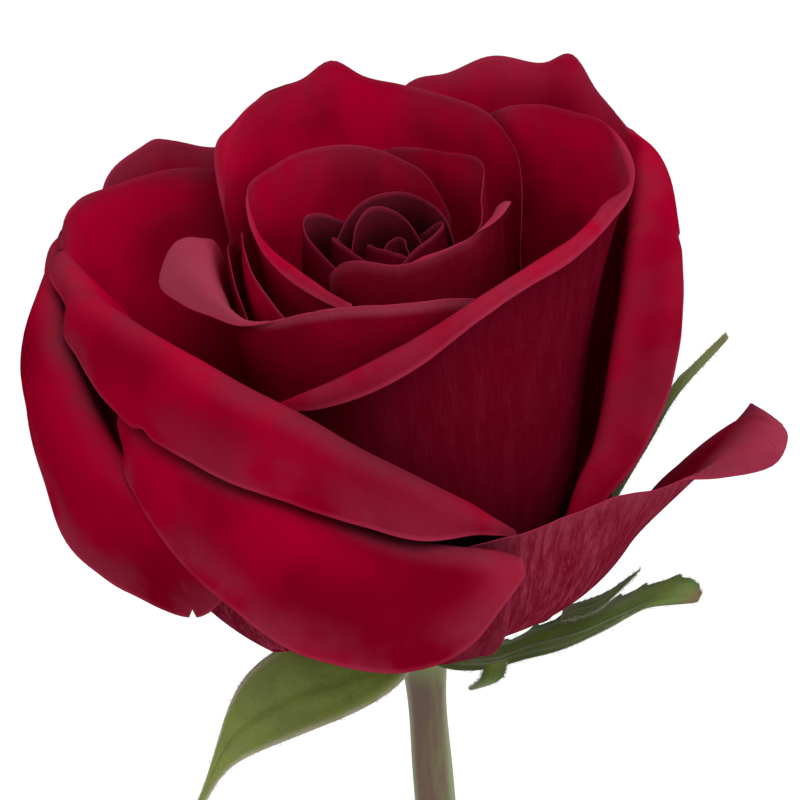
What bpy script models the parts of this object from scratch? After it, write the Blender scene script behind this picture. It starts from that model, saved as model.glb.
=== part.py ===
"""One red rose standing in a plain glazed bud vase.

The rose leans a little and rests against the inside of the vase's throat.
The vase stands on the ground plane with its axis on +Z. Everything of the
rose hangs from one empty, whose origin is the point where the petals join
the hip and whose Z axis runs up through the bloom.

Each petal is a wall over a fan of profiles. A profile is drawn in the
half-plane at one angle round the bloom: it leaves the dome of the hip,
passes the petal's belly, climbs to a crest and, where the rim is rolled
over, goes on down to the margin.
"""
from collections import namedtuple
from math import ceil, cos, hypot, pi, radians, sin, tan

import bmesh
import bpy
import numpy as np

MM = 0.001

# Vase, in metres
VASE_HEIGHT = 170 * MM
VASE_WALL = 3.0 * MM
VASE_FLOOR = 6.0 * MM
VASE_BODY_RADIUS = 33.0 * MM
VASE_BODY_LEVEL = 52.0 * MM
VASE_FOOT_RADIUS = 22.0 * MM
VASE_FOOT_CHAMFER = 1.2 * MM
VASE_THROAT_RADIUS = 8.6 * MM
VASE_THROAT_DROP = 24.0 * MM
VASE_MOUTH_RADIUS = 10.4 * MM
VASE_FACETS = 36

# Stem and hip, in metres
STEM_RADIUS = 2.8 * MM
STEM_TOP_RADIUS = 3.25 * MM
STEM_SHOWING = 66.0 * MM
STEM_LEAN = radians(3.7)
STEM_FACETS = 20
STEM_FLARE = 20.0 * MM
HIP_RADIUS = 6.2 * MM
HIP_LEVEL = -6.0 * MM
HIP_FOOT = -9.2 * MM

# Dome of the hip, where the petals are rooted
DOME_RADIUS = 7.6 * MM
DOME_HEIGHT = 12.0 * MM
DOME_LEVEL = -3.0 * MM

# Walls and gaps
PETAL_WALL = 0.4 * MM
SEPAL_WALL = 0.7 * MM
GAP = 0.3 * MM
SHORTEST_LIP = 0.8 * MM

# The petal and sepal tables are drawn in millimetres, for a bloom 88 across
BLOOM_WIDTH = 88.0 * MM
SCALE = BLOOM_WIDTH / 88

# Bends of the petals, in drawn millimetres and degrees
ROLLED_LIP = 3.5
ROLLED_HEADING = 8
BELLY_BASE = 6

# Widest sepal width that is dished less than its full cup, in drawn millimetres
CUPPED_WIDTH = 8

# Resolution
OUTER_STEP = 10
HEART_STEP = 20
HEART_BELLY = 12
BODY_ROWS = 8
LIP_ROWS = 3
SEPAL_ROWS = 11
SEPAL_COLUMNS = 5

PETAL_RED = (0.26, 0.004, 0.014)
PETAL_DARK = (0.12, 0.003, 0.010)
SEPAL_GREEN = (0.10, 0.16, 0.035)
STEM_GREEN = (0.17, 0.15, 0.065)
GLAZE_WHITE = (0.78, 0.77, 0.74)

Petal = namedtuple("Petal", "name belly columns lean curl taper tuck roll sag")
Petal.__doc__ = """One petal of the table, in millimetres and degrees.

belly: radius and height that the wall passes, and its heading there.
columns: angle round the bloom, crest radius and height, and where the
rim is rolled over also the margin's radius and height.
lean: heading at a plain crest. curl: heading at a rolled margin.
taper: how far up the side columns start, as a share of their length.
tuck, sag: change of the belly's radius and height towards the last side.
roll: length of the bend just before a rolled crest.
"""


def petal(name, belly, columns, lean=80, curl=-80, taper=0.4, tuck=0.0, roll=2.5, sag=0.0):
    return Petal(name, belly, columns, lean, curl, taper, tuck, roll, sag)


def heart_petal(name, middle, half_span, belly, top, drop, lean):
    """A plain wrapped petal of the heart, highest in its middle."""
    spread = (-1, -0.6, 0, 0.6, 1)
    columns = [(middle + half_span * u, top[0] + 0.35 * u, top[1] - drop * u * u) for u in spread]
    return petal(name, (belly[0], belly[1], 90), columns, lean)


# Heart petals: middle angle, half span, belly, top of the rim, drop to the sides, lean
HEART = [
    (60, 100, (2.6, 32), (1.7, 55.0), 3, 100),
    (235, 95, (3.7, 31), (3.2, 56.0), 3, 100),
    (120, 85, (4.9, 30), (4.7, 58.0), 5, 97),
    (340, 80, (6.1, 30), (6.0, 57.8), 5, 97),
    (215, 75, (7.3, 29), (7.4, 57.6), 6, 96),
    (85, 75, (8.5, 29), (8.3, 58.0), 6, 96),
    (310, 70, (9.7, 28), (9.2, 56.5), 6, 95),
    (190, 70, (10.9, 28), (10.9, 59.0), 6, 94),
]

PETALS = [heart_petal(f"heart_petal_{i + 1}", *row) for i, row in enumerate(HEART)] + [
    petal("petal_inner_right", (14.2, 27, 90), [
        (-38, 10.6, 55.5), (-15, 10.8, 57.8), (11, 11.3, 58.9), (38, 14.5, 60.9),
        (67, 16.7, 59.7), (97, 19.0, 58.4), (118, 20.2, 54)], lean=92, tuck=2.7),
    petal("petal_inner_front", (13.4, 27, 90), [
        (232, 12.4, 56.5), (244, 13.2, 59.2), (275, 13.8, 59.5), (314, 14.1, 60.6),
        (332, 13.9, 61.2, 15.0, 61.4), (346, 13.6, 60.5, 15.2, 61.4), (357, 13.6, 57)],
        lean=90, roll=1),
    petal("petal_inner_back", (14.3, 27, 90), [
        (55, 12.6, 53), (63, 12.6, 56.6), (86, 15.0, 59.2), (101, 17.0, 60.3), (128, 18.4, 61.1),
        (148, 18.4, 61.4), (171, 17.8, 61.8), (191, 16.8, 60.2, 17.6, 60),
        (213, 15.8, 58.3, 17.0, 57.6), (232, 15.5, 57, 16.6, 56), (251, 15.3, 54.6, 16.0, 53.8)],
        lean=88, tuck=0.7, roll=1),
    petal("petal_left_sliver", (15.8, 26, 88), [
        (168, 19.2, 54), (187, 18.6, 58.8), (195, 18.8, 58.5), (207, 19.0, 56.7),
        (219, 18.8, 54.3), (235, 18.3, 50), (250, 17.7, 44)], lean=92),
    petal("petal_left_tuck", (16.9, 25, 88), [
        (161, 20.2, 50), (178, 20.3, 56), (189, 20.4, 56.9), (197, 20.4, 55.6),
        (205, 20.4, 53), (216, 20.1, 48)], lean=92),
    petal("petal_front_fold", (19.0, 24, 88), [
        (166, 22.6, 51), (178, 22.8, 56.5, 27.5, 56.3), (186, 22.8, 56.5, 29.4, 53.2),
        (196, 22.8, 55.2, 27, 52), (206, 22.7, 53.5, 24.6, 52), (216, 22.7, 53.2, 23.7, 52.5),
        (247, 21.9, 57.6), (273, 22.0, 58.8), (295, 21.4, 57.5), (318, 20.5, 53)],
        lean=90, curl=-40, roll=1.6),
    petal("petal_back_tall", (20.2, 24.5, 85), [
        (26, 17.8, 50), (37, 20.6, 56.6), (47, 23.3, 58.9), (58, 24.7, 61.6), (72, 26.2, 62.8),
        (87, 26.8, 64.2), (97, 26.9, 65.6), (105, 27, 68.3), (115, 26.7, 66.7), (128, 26.3, 66.3),
        (140, 24.8, 64.6, 26.2, 64.4), (152, 23.8, 61, 25.4, 61.5), (158, 23.6, 56)],
        lean=84, curl=-30),
    petal("petal_right_wrap", (22.0, 23, 84), [
        (-125, 25.7, 45.3, 26.4, 44.6), (-111, 25.9, 49.2, 27.8, 47.2), (-96, 25.9, 53.2, 28.6, 50.6),
        (-84, 25.4, 55.6, 28.3, 53.6), (-71, 24.9, 58.1, 27.2, 56.6), (-51, 24.2, 60.2, 26.2, 59),
        (-32, 24.8, 60.8, 26.6, 59.8), (-13, 26.0, 60.8, 27.6, 59.8), (4, 29.2, 61.6, 30.6, 61.4),
        (18, 28.8, 65.0), (31, 27.6, 64.6), (45, 27.0, 63.6), (55, 26.8, 62.3), (66, 28.2, 59)]),
    petal("petal_left_wrap", (24.2, 21.5, 80), [
        (136, 29.5, 56), (150, 33.5, 58.5), (160, 38.0, 58.7), (170, 40.8, 59.3),
        (180, 41.0, 57.5, 42.2, 56.6), (190, 39.2, 55.2, 41.6, 51.8), (201, 36.7, 55.0, 40.6, 47.8),
        (213, 34.6, 54.4, 39.8, 44.8), (226, 33.2, 53.3, 39.0, 43.9), (238, 33.0, 51.6, 38.8, 42.7),
        (250, 33, 49.3, 38.7, 41.2), (262, 32.8, 45.2, 38.2, 38.6), (272, 32.4, 41.4, 37.6, 36),
        (285, 31.4, 35.4, 33.6, 32.6), (296, 30.0, 29.2, 30.6, 28.4)], lean=84, roll=5),
    petal("petal_right_outer", (26.4, 19.5, 76), [
        (-37, 27.8, 28.4, 31, 27.4), (-27, 28.4, 32.6, 32.8, 30.4), (-19, 28.8, 37.6, 34.6, 34.8),
        (-8, 29.2, 44.2, 35.6, 41.2), (8, 31.2, 52.4, 36.6, 50), (19, 34.0, 58.4, 37.2, 57),
        (31, 35.2, 60.5), (39, 34.6, 63.8), (46, 34.9, 67.5), (54, 34.7, 65.3), (67, 33.8, 65.4),
        (76, 33, 63.1), (85, 32.1, 62), (96, 30.8, 56)], lean=70, roll=4),
    petal("petal_back_left", (27.8, 19, 72), [
        (112, 33, 50), (122, 36, 54), (132, 39, 55.7), (137, 42.5, 57.2), (142, 43.6, 56.6),
        (149, 44.4, 54.8), (154, 44.0, 51.5)], lean=60),
    petal("petal_back_outer", (29.6, 18.5, 70), [
        (50, 36.0, 44), (62, 37.6, 49.5), (84, 38.9, 52), (98, 39.2, 52.4), (112, 40, 51.4),
        (126, 40.6, 47), (142, 40.8, 42), (158, 39.6, 36)], lean=66),
    petal("petal_front_right", (29.6, 16.5, 64), [
        (266, 31.9, 28.2), (275, 32.2, 29.4), (284, 32.8, 30.4), (291, 33.3, 31.2), (297, 34.2, 31.8),
        (303, 34.8, 32.4), (317, 35.8, 31.6), (327, 37.2, 29.8), (334, 38.4, 28.8, 38.6, 28.4),
        (340, 41.4, 29.4, 42.0, 26.8), (346, 43.4, 30.4, 47.6, 26.6), (350, 44.4, 30.6, 48.8, 28.0),
        (354, 44.8, 29.6, 48.0, 28.0), (358, 44.4, 29.4, 44.8, 28.8)], lean=62, sag=-3),
    petal("petal_front_low", (31.8, 18.5, 70), [
        (200, 36.0, 41.5), (207, 36.6, 42.4, 38.6, 41.6), (213, 36.7, 43.0, 40.8, 38.6),
        (221, 36.3, 42.4, 42.0, 35.6), (232, 35.9, 41.5, 42.8, 30.9), (241, 35.7, 40.6, 43.0, 27.6),
        (250, 35.5, 39.4, 42.9, 23.2), (259, 35.3, 37.2, 42.0, 20.6), (269, 35.2, 34.6, 41.2, 19.0),
        (280, 35.6, 32.6, 40.8, 21.8), (287, 36.2, 31.4, 39.8, 26.4), (292, 36.2, 29.8, 37.6, 28)],
        lean=60, roll=3.5),
    petal("petal_left_low", (33.6, 17, 66), [
        (160, 41.5, 50, 42, 49.8), (166, 42.6, 53, 43.4, 53), (175, 42.8, 53.8, 44.8, 52.4),
        (181, 42.6, 53.0, 45.2, 46.0), (188, 42.2, 50.6, 48.4, 37.4), (195, 41.8, 47.2, 47.6, 29.8),
        (201, 41.2, 43.4, 46.6, 24.6), (208, 40.4, 39.0, 44.2, 21.6), (216, 39.2, 36.6, 41.8, 20.2),
        (226, 38.4, 35, 39.9, 19.2), (236, 38.2, 32.6, 39.6, 22.4), (243, 37.9, 30.6, 38.4, 28.6)],
        lean=60),
]

Sepal = namedtuple("Sepal", "name one_edge other_edge cup")
Sepal.__doc__ = """One sepal: its two edges from the hip to the tip, as angle, reach beyond
the hip and rise above the hip's rim, in degrees and drawn millimetres, and
how far the middle is dished."""

SEPALS = [
    Sepal("sepal_left",
          [(259, 0, 0), (243, 4.1, -2.0), (233, 9.5, -2.6), (226, 16.9, -2.5),
           (222, 26.1, -2.6), (222, 31.8, -5.6), (223, 36.6, -10)],
          [(211, 0, 0), (207, 6.8, 3.4), (206, 11, 5.2), (208, 14.5, 6.4),
           (213, 21.9, 4.6), (219, 29.8, -3.6), (222, 36.4, -9.6)], 1.0),
    Sepal("sepal_right",
          [(284, 0, 0), (310, 5.2, 0.8), (325, 9, 1.8), (329, 14.5, 4.6),
           (333, 19.6, 8), (336, 24.9, 12), (339, 31.9, 13.4)],
          [(332, 0, 0), (340, 5.2, 1.4), (343, 10.2, 4.6), (343, 18.6, 9.2),
           (342, 25.4, 13.8), (341, 30.5, 16), (340, 32.4, 14.6)], 0.8),
    Sepal("sepal_right_back",
          [(-6, 0, 0), (2, 9.2, 3.5), (8, 17.1, 12.5), (9.5, 25, 25.2),
           (11, 29.6, 32.2), (13, 36.9, 38.6)],
          [(42, 0, 0), (32, 8.2, 3.5), (20, 17.1, 12.5), (14, 24.6, 25.8),
           (12.7, 29.2, 33.0), (13.4, 36.6, 39.3)], 0.5),
    Sepal("sepal_back",
          [(67, 0, 0), (71, 7.2, 0.6), (74, 14.2, 2.4), (82, 22.1, 2.2),
           (88, 28.1, -0.6), (91, 34.1, -5)],
          [(115, 0, 0), (113, 7.2, 0.6), (108, 14.2, 2.4), (100, 22.1, 2.2),
           (94, 28.1, -0.6), (92, 34.1, -5)], 0.9),
    Sepal("sepal_back_left",
          [(139, 0, 0), (142, 7.2, 0.4), (146, 14.2, 2), (153, 20.6, 1.8),
           (159, 24.6, 0), (162, 27.6, -2.6)],
          [(187, 0, 0), (185, 7.2, 0.4), (180, 14.2, 2), (172, 20.6, 1.8),
           (165, 24.6, 0), (163, 27.6, -2.6)], 0.9),
]


# Curves and small helpers

def smooth(t):
    t = np.clip(t, 0, 1)
    return t * t * (3 - 2 * t)


def through(x, knots, values):
    """Smooth curve through the knots, with slopes from the neighbours."""
    knots = np.asarray(knots, float)
    values = np.asarray(values, float)
    steps = np.diff(knots)
    rises = np.diff(values) / steps
    slopes = np.empty_like(values)
    slopes[1:-1] = (rises[:-1] * steps[1:] + rises[1:] * steps[:-1]) / (steps[:-1] + steps[1:])
    slopes[0], slopes[-1] = rises[0], rises[-1]
    i = np.clip(np.searchsorted(knots, x) - 1, 0, len(steps) - 1)
    h = steps[i]
    t = (x - knots[i]) / h
    return ((2 * t**3 - 3 * t**2 + 1) * values[i] + (t**3 - 2 * t**2 + t) * h * slopes[i]
            + (3 * t**2 - 2 * t**3) * values[i + 1] + (t**3 - t**2) * h * slopes[i + 1])


def heading(angle):
    """Unit vectors in the half-plane of radius and height."""
    return np.stack([np.cos(angle), np.sin(angle)], -1)


def bezier(a, b, c, d, t):
    """Cubic Bezier of each column's four points, at that column's values of t."""
    a, b, c, d = (p[:, None] for p in (a, b, c, d))
    t = t[..., None]
    return (1 - t)**3 * a + 3 * (1 - t)**2 * t * b + 3 * (1 - t) * t * t * c + t**3 * d


def length(v):
    return np.hypot(v[:, 0], v[:, 1])


# Petals

def root_of(rank):
    """Where a petal leaves the dome: inner petals near its top, outer ones at its edge."""
    share = rank / (len(PETALS) - 1)
    f = radians(8 + 82 * share)
    return (DOME_RADIUS * sin(f), DOME_LEVEL + DOME_HEIGHT * cos(f)), radians(88 - 62 * share)


def petal_wall(p, rank, angles):
    """Radius and height over columns (angles) and rows (root to margin)."""
    table = np.array([c if len(c) == 5 else c + c[1:] for c in p.columns], float)
    crest_r, crest_z, margin_r, margin_z = (
        through(angles, table[:, 0], table[:, k]) * SCALE for k in range(1, 5))
    first, last = table[0, 0], table[-1, 0]
    across = (angles - first) / (last - first)
    whole = np.ones_like(angles)

    (root_r, root_z), rise = root_of(rank)
    root = np.stack([root_r * whole, root_z * whole], -1)
    crest = np.stack([crest_r, crest_z], -1)
    margin = np.stack([margin_r, margin_z], -1)
    belly_r, belly_z, belly_heading = p.belly
    low = np.clip((crest_z / SCALE - BELLY_BASE) / (belly_z + BELLY_BASE), 0.2, 1)
    belly = SCALE * np.stack([
        belly_r + p.tuck * (2 * smooth(across) - 1),
        (belly_z + p.sag * (2 * across - 1)) * low], -1)

    too_short = length(margin - crest) < SHORTEST_LIP
    margin = np.where(too_short[:, None], crest, margin)
    lip = length(margin - crest)
    rolled = smooth(lip / (ROLLED_LIP * SCALE))[:, None]
    lower, upper = length(belly - root)[:, None], length(crest - belly)[:, None]
    at_belly = heading(radians(belly_heading) * whole)
    plain = 0.38 * upper * heading(radians(p.lean) * whole)
    bent = np.minimum(0.38 * upper, p.roll * SCALE) * heading(radians(ROLLED_HEADING) * whole)
    bend = (1 - rolled) * plain + rolled * bent
    at_crest = bend / length(bend)[:, None]

    # The side columns start higher up, so the petal is narrow at its foot
    start = p.taper * smooth((np.abs(2 * across - 1) - 0.15) / 0.85)
    rows = start[:, None] + (1 - start[:, None]) * np.linspace(0, 1, BODY_ROWS)
    share = lower / (lower + upper)
    below = bezier(root, root + 0.34 * lower * heading(rise * whole),
                   belly - 0.42 * lower * at_belly, belly, np.clip(rows / share, 0, 1))
    above = bezier(belly, belly + 0.42 * upper * at_belly, crest - bend, crest,
                   np.clip((rows - share) / (1 - share), 0, 1))
    body = np.where((rows <= share)[..., None], below, above)
    if lip.max() == 0:
        return body
    down = np.linspace(0, 1, LIP_ROWS + 1)[None, 1:] * whole[:, None]
    lip = lip[:, None]
    fold = bezier(crest, crest + 0.42 * lip * at_crest,
                  margin - 0.35 * lip * heading(radians(p.curl) * whole), margin, down)
    return np.concatenate([body, fold], 1)


def column_angles(p):
    """Angles on whole steps round the bloom, so that neighbours' facets agree."""
    first, last = p.columns[0][0], p.columns[-1][0]
    step = HEART_STEP if p.belly[0] < HEART_BELLY else OUTER_STEP
    inside = step * np.arange(ceil(first / step), ceil(last / step))
    inside = inside[(inside > first + step / 4) & (inside < last - step / 4)]
    return np.concatenate([[first], inside, [last]]).astype(float)


def sheet(name, points):
    """A surface over a grid of points, each row and column joined to the next."""
    columns, rows = points.shape[:2]
    index = np.arange(columns * rows).reshape(columns, rows)
    faces = np.stack([index[:-1, :-1], index[1:, :-1], index[1:, 1:], index[:-1, 1:]], -1)
    mesh = bpy.data.meshes.new(name)
    mesh.from_pydata(points.reshape(-1, 3).tolist(), [], faces.reshape(-1, 4).tolist())
    bm = bmesh.new()
    bm.from_mesh(mesh)
    bmesh.ops.remove_doubles(bm, verts=bm.verts, dist=0.1 * MM)
    bmesh.ops.triangulate(bm, faces=bm.faces, quad_method="SHORT_EDGE")
    bm.to_mesh(mesh)
    bm.free()
    return mesh


def add_object(name, mesh, material, parent=None):
    mesh.materials.append(material)
    made = bpy.data.objects.new(name, mesh)
    bpy.context.collection.objects.link(made)
    made.parent = parent
    return made


def give_wall(made, thickness):
    wall = made.modifiers.new("wall", "SOLIDIFY")
    wall.thickness = thickness
    wall.offset = 0


def add_petal(p, rank, material, bloom):
    angles = column_angles(p)
    wall = petal_wall(p, rank, angles)
    turn = np.radians(angles)[:, None]
    points = np.stack([wall[..., 0] * np.cos(turn), wall[..., 0] * np.sin(turn), wall[..., 1]], -1)
    give_wall(add_object(p.name, sheet(p.name, points), material, bloom), PETAL_WALL)


# Sepals

def edge_places(edge):
    """Angle, reach and rise at each row, smooth through those of one edge."""
    table = np.array(edge, float)
    row = np.linspace(0, len(edge) - 1, SEPAL_ROWS)
    return np.stack([through(row, np.arange(len(edge)), column) for column in table.T], -1)


def add_sepal(s, material, bloom):
    """A blade between its two edges, its middle dished downwards."""
    one, other = edge_places(s.one_edge), edge_places(s.other_edge)
    across = np.linspace(0, 1, SEPAL_COLUMNS)[:, None, None]
    angle, reach, rise = np.moveaxis(one + across * (other - one), -1, 0)
    turn = np.radians(angle)
    radius = HIP_RADIUS + GAP + SEPAL_WALL / 2 + SCALE * reach
    width = radius[0] * np.abs(turn[-1] - turn[0])
    outward = np.linspace(0, 1, SEPAL_ROWS)**0.5
    depth = s.cup * SCALE * np.minimum(1, width / (CUPPED_WIDTH * SCALE)) * outward
    height = HIP_LEVEL + SCALE * rise - 4 * (across * (1 - across))[..., 0] * depth
    points = np.stack([radius * np.cos(turn), radius * np.sin(turn), height], -1)
    give_wall(add_object(s.name, sheet(s.name, points), material, bloom), SEPAL_WALL)


# Turned pieces

def turned(name, profile, facets):
    """A closed body turned round Z from a profile that starts and ends on the axis."""
    bm = bmesh.new()
    corners = [bm.verts.new((radius, 0, height)) for radius, height in profile]
    edges = [bm.edges.new(pair) for pair in zip(corners, corners[1:])]
    bmesh.ops.spin(bm, geom=corners + edges, cent=(0, 0, 0), axis=(0, 0, 1),
                   angle=2 * pi, steps=facets, use_merge=True)
    bmesh.ops.remove_doubles(bm, verts=bm.verts, dist=0.02 * MM)
    bmesh.ops.recalc_face_normals(bm, faces=bm.faces)
    mesh = bpy.data.meshes.new(name)
    bm.to_mesh(mesh)
    bm.free()
    return mesh


def arc_between(start, start_angle, end, end_angle, pull, count):
    """Points of a Bezier that leaves and arrives at the given headings, without its start."""
    start, end = np.array(start, float), np.array(end, float)
    reach = pull * hypot(*(end - start))
    a = start + reach * np.array([cos(start_angle), sin(start_angle)])
    b = end - reach * np.array([cos(end_angle), sin(end_angle)])
    t = np.linspace(0, 1, count + 1)[1:, None]
    return ((1 - t)**3 * start + 3 * (1 - t)**2 * t * a + 3 * (1 - t) * t * t * b + t**3 * end).tolist()


def vase_side(inset, foot):
    """One side of the vase's wall from the foot to the mouth, set in from the outside.

    It leaves the foot at 46 degrees, is upright at the belly and at the
    throat, and reaches the mouth at 80.
    """
    up = radians(90)
    belly = (VASE_BODY_RADIUS - inset, VASE_BODY_LEVEL)
    throat = (VASE_THROAT_RADIUS + VASE_WALL - inset, VASE_HEIGHT - VASE_THROAT_DROP)
    mouth = (VASE_MOUTH_RADIUS + VASE_WALL - inset, VASE_HEIGHT - VASE_WALL / 2)
    return ([foot] + arc_between(foot, radians(46), belly, up, 0.36, 5)
            + arc_between(belly, up, throat, up, 0.46, 9)
            + arc_between(throat, up, mouth, radians(80), 0.36, 4))


def vase_outline():
    """The vase's outside from the axis to the mouth, and its inside from mouth to axis."""
    foot = (VASE_FOOT_RADIUS, VASE_FOOT_CHAMFER)
    outside = [(0, 0), (VASE_FOOT_RADIUS - VASE_FOOT_CHAMFER, 0)] + vase_side(0, foot)
    inside = vase_side(VASE_WALL, (VASE_FOOT_RADIUS - VASE_WALL, VASE_FLOOR))
    half, middle = VASE_WALL / 2, VASE_MOUTH_RADIUS + VASE_WALL / 2
    lip = [(middle + half * cos(a), VASE_HEIGHT - half + half * sin(a))
           for a in (pi / 4, pi / 2, 3 * pi / 4)]
    return outside + lip, inside[::-1] + [(0, VASE_FLOOR)]


def stem_profile(foot_level):
    """The stem from its cut foot to the hip, and the dome that carries the petals."""
    clear = PETAL_WALL / 2 + GAP
    dome_radius, dome_height = DOME_RADIUS - clear, DOME_HEIGHT - clear
    neck = (STEM_TOP_RADIUS, HIP_FOOT)
    flare = arc_between((STEM_RADIUS, HIP_FOOT - STEM_FLARE), pi / 2, neck, radians(84), 0.4, 4)
    hip = (arc_between(neck, radians(70), (HIP_RADIUS, HIP_LEVEL), radians(66), 0.3, 3)
           + arc_between((HIP_RADIUS, HIP_LEVEL), radians(66), (dome_radius, DOME_LEVEL),
                         radians(90), 0.3, 2))
    dome = [(dome_radius * cos(a), DOME_LEVEL + dome_height * sin(a))
            for a in np.linspace(0, pi / 2, 7)[1:-1]]
    return ([(0, foot_level), (STEM_RADIUS, foot_level), (STEM_RADIUS, HIP_FOOT - STEM_FLARE)]
            + flare + hip + dome + [(0, DOME_LEVEL + dome_height)])


def finish(name, colour, roughness, metallic=0.0):
    material = bpy.data.materials.new(name)
    material.use_nodes = True
    shader = material.node_tree.nodes["Principled BSDF"]
    shader.inputs["Base Color"].default_value = (*colour, 1)
    shader.inputs["Roughness"].default_value = roughness
    shader.inputs["Metallic"].default_value = metallic
    return material


def bloom_place():
    """Where the petals join the hip, with the stem leaning on the vase's wall at -X."""
    level = VASE_HEIGHT + STEM_SHOWING
    beside = STEM_RADIUS / cos(STEM_LEAN) + GAP
    x = max(beside - radius * cos(pi / VASE_FACETS) - tan(STEM_LEAN) * (level - height)
            for radius, height in vase_outline()[1] if height > VASE_BODY_LEVEL)
    return x, level


def build():
    for old in list(bpy.data.objects):
        bpy.data.objects.remove(old)

    bloom_x, bloom_level = bloom_place()
    bloom = bpy.data.objects.new("bloom_axis", None)
    bpy.context.collection.objects.link(bloom)
    bloom.location = (bloom_x, 0, bloom_level)
    bloom.rotation_euler = (0, -STEM_LEAN, 0)

    petal_finish = finish("petal", PETAL_RED, 0.6)
    heart_finish = finish("heart_petal", PETAL_DARK, 0.7)
    sepal_finish = finish("sepal", SEPAL_GREEN, 0.7)
    stem_finish = finish("stem", STEM_GREEN, 0.55)
    glaze = finish("glaze", GLAZE_WHITE, 0.2)

    for rank, p in enumerate(PETALS):
        add_petal(p, rank, heart_finish if rank < len(HEART) else petal_finish, bloom)
    for s in SEPALS:
        add_sepal(s, sepal_finish, bloom)

    # The foot's lowest edge stands on the vase's floor
    foot_level = (VASE_FLOOR + GAP + STEM_RADIUS * sin(STEM_LEAN) - bloom_level) / cos(STEM_LEAN)
    add_object("stem_and_hip", turned("stem_and_hip", stem_profile(foot_level), STEM_FACETS),
               stem_finish, bloom)
    outside, inside = vase_outline()
    add_object("vase", turned("vase", outside + inside, VASE_FACETS), glaze)


build()
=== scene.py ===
"""A red rose in a plain glazed bud vase: the finished pieces around the packed frame.

The petals, sepals, stem and vase of the frame are plain solids. Each is
replaced here by a fine surface of the same shape and size, with thin rims,
ripples, veins, teeth and down, and a material of its own.
"""

from collections import namedtuple
from math import cos, pi, radians, sin

import bpy
import numpy as np
from bpy.props import FloatProperty, FloatVectorProperty, PointerProperty
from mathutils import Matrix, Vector


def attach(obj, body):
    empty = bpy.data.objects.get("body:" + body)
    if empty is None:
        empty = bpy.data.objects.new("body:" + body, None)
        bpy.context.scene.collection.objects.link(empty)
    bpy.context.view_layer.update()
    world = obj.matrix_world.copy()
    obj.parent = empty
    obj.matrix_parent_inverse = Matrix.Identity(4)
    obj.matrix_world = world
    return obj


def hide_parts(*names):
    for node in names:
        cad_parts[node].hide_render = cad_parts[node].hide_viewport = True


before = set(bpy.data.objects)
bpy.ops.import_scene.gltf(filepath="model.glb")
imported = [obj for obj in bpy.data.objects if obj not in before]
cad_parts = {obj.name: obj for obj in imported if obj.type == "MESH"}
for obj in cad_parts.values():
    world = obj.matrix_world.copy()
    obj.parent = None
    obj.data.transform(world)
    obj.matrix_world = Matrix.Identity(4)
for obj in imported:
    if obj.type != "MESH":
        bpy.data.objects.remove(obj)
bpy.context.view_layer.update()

bl_info = {
    "name": "Rose in a bud vase",
    "version": (1, 0, 0),
    "blender": (4, 5, 0),
    "location": "3D View > Sidebar > Rose",
    "description": "Builds the rose's petals, sepals and stem, its vase and the stage",
    "category": "Object",
}

MM = 0.001


# Settings that a user would change

def size(name, description, default, low=0.0, high=1.0):
    return FloatProperty(name=name, description=description, default=default, min=low, max=high,
                         unit="LENGTH", precision=5)


def amount(name, description, default, low=0.0, high=1.0):
    return FloatProperty(name=name, description=description, default=default, min=low, max=high)


def colour(name, description, default):
    return FloatVectorProperty(name=name, description=description, default=default,
                               subtype="COLOR", min=0.0, max=1.0)


class PetalSettings(bpy.types.PropertyGroup):
    spacing: size("Mesh spacing", "Distance between the mesh's lines", 0.8 * MM)
    wall: size("Wall", "Thickness of a petal away from its rim", 0.34 * MM)
    rim_wall: size("Rim wall", "Thickness of a petal at its rim", 0.13 * MM)
    ripple: size("Ripple", "Height of the ripples along a rim", 0.26 * MM)
    # Painted light: the cup's velvet is set lighter and the rolled lip's darker, evening out the
    # light
    bright: colour("Velvet", "Inner face of the cup", (0.255, 0.0, 0.0150))
    lip: colour("Lip velvet", "Inner face where it is rolled out", (0.118, 0.0, 0.0066))
    # Darker velvet in random patches, and painted shade far down in the cup
    dark_patches_and_shade: colour("Deep velvet", "Inner face where the colour gathers", (0.080, 0.0, 0.0052))
    # The outer face's own duller red, set darker still as painted shade
    wine: colour("Wine", "Outer face", (0.070, 0.0, 0.0052))
    # Mauve of the outer face's pale flecks, and of the painted sheen near the rims and on the crests
    mauve: colour("Mauve", "Bloom of the outer face and of the rolled rims", (0.190, 0.022, 0.043))
    # Painted highlight: the thin pale line along the rims
    margin: colour("Margin", "Thin line along the rims", (0.200, 0.014, 0.036))
    # Painted shade: the heart's velvet is far darker than the open petals', for the shade far inside
    # the bloom
    heart: colour("Heart", "Velvet of the heart petals", (0.060, 0.0010, 0.0062))


class GreenSettings(bpy.types.PropertyGroup):
    wall: size("Sepal wall", "Thickness of a sepal", 0.5 * MM)
    hair: size("Hair", "Length of the down on the sepals", 0.7 * MM)
    leaf: colour("Leaf green", "Sepals near the hip", (0.100, 0.130, 0.006))
    downy: colour("Downy green", "Sepals under their down", (0.165, 0.185, 0.070))
    edge: colour("Sepal edge", "Pale pinkish edge of the sepals", (0.36, 0.29, 0.24))
    bark: colour("Bark", "Sunny side of the stem", (0.078, 0.040, 0.024))
    bark_green: colour("Bark green", "Shaded side of the stem", (0.095, 0.090, 0.036))


class VaseSettings(bpy.types.PropertyGroup):
    glaze: colour("Glaze", "Colour of the glaze", (0.31, 0.36, 0.32))
    clay: colour("Clay", "Bare clay of the foot ring", (0.42, 0.30, 0.21))
    roughness: amount("Roughness", "Roughness of the glaze", 0.24)


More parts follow.
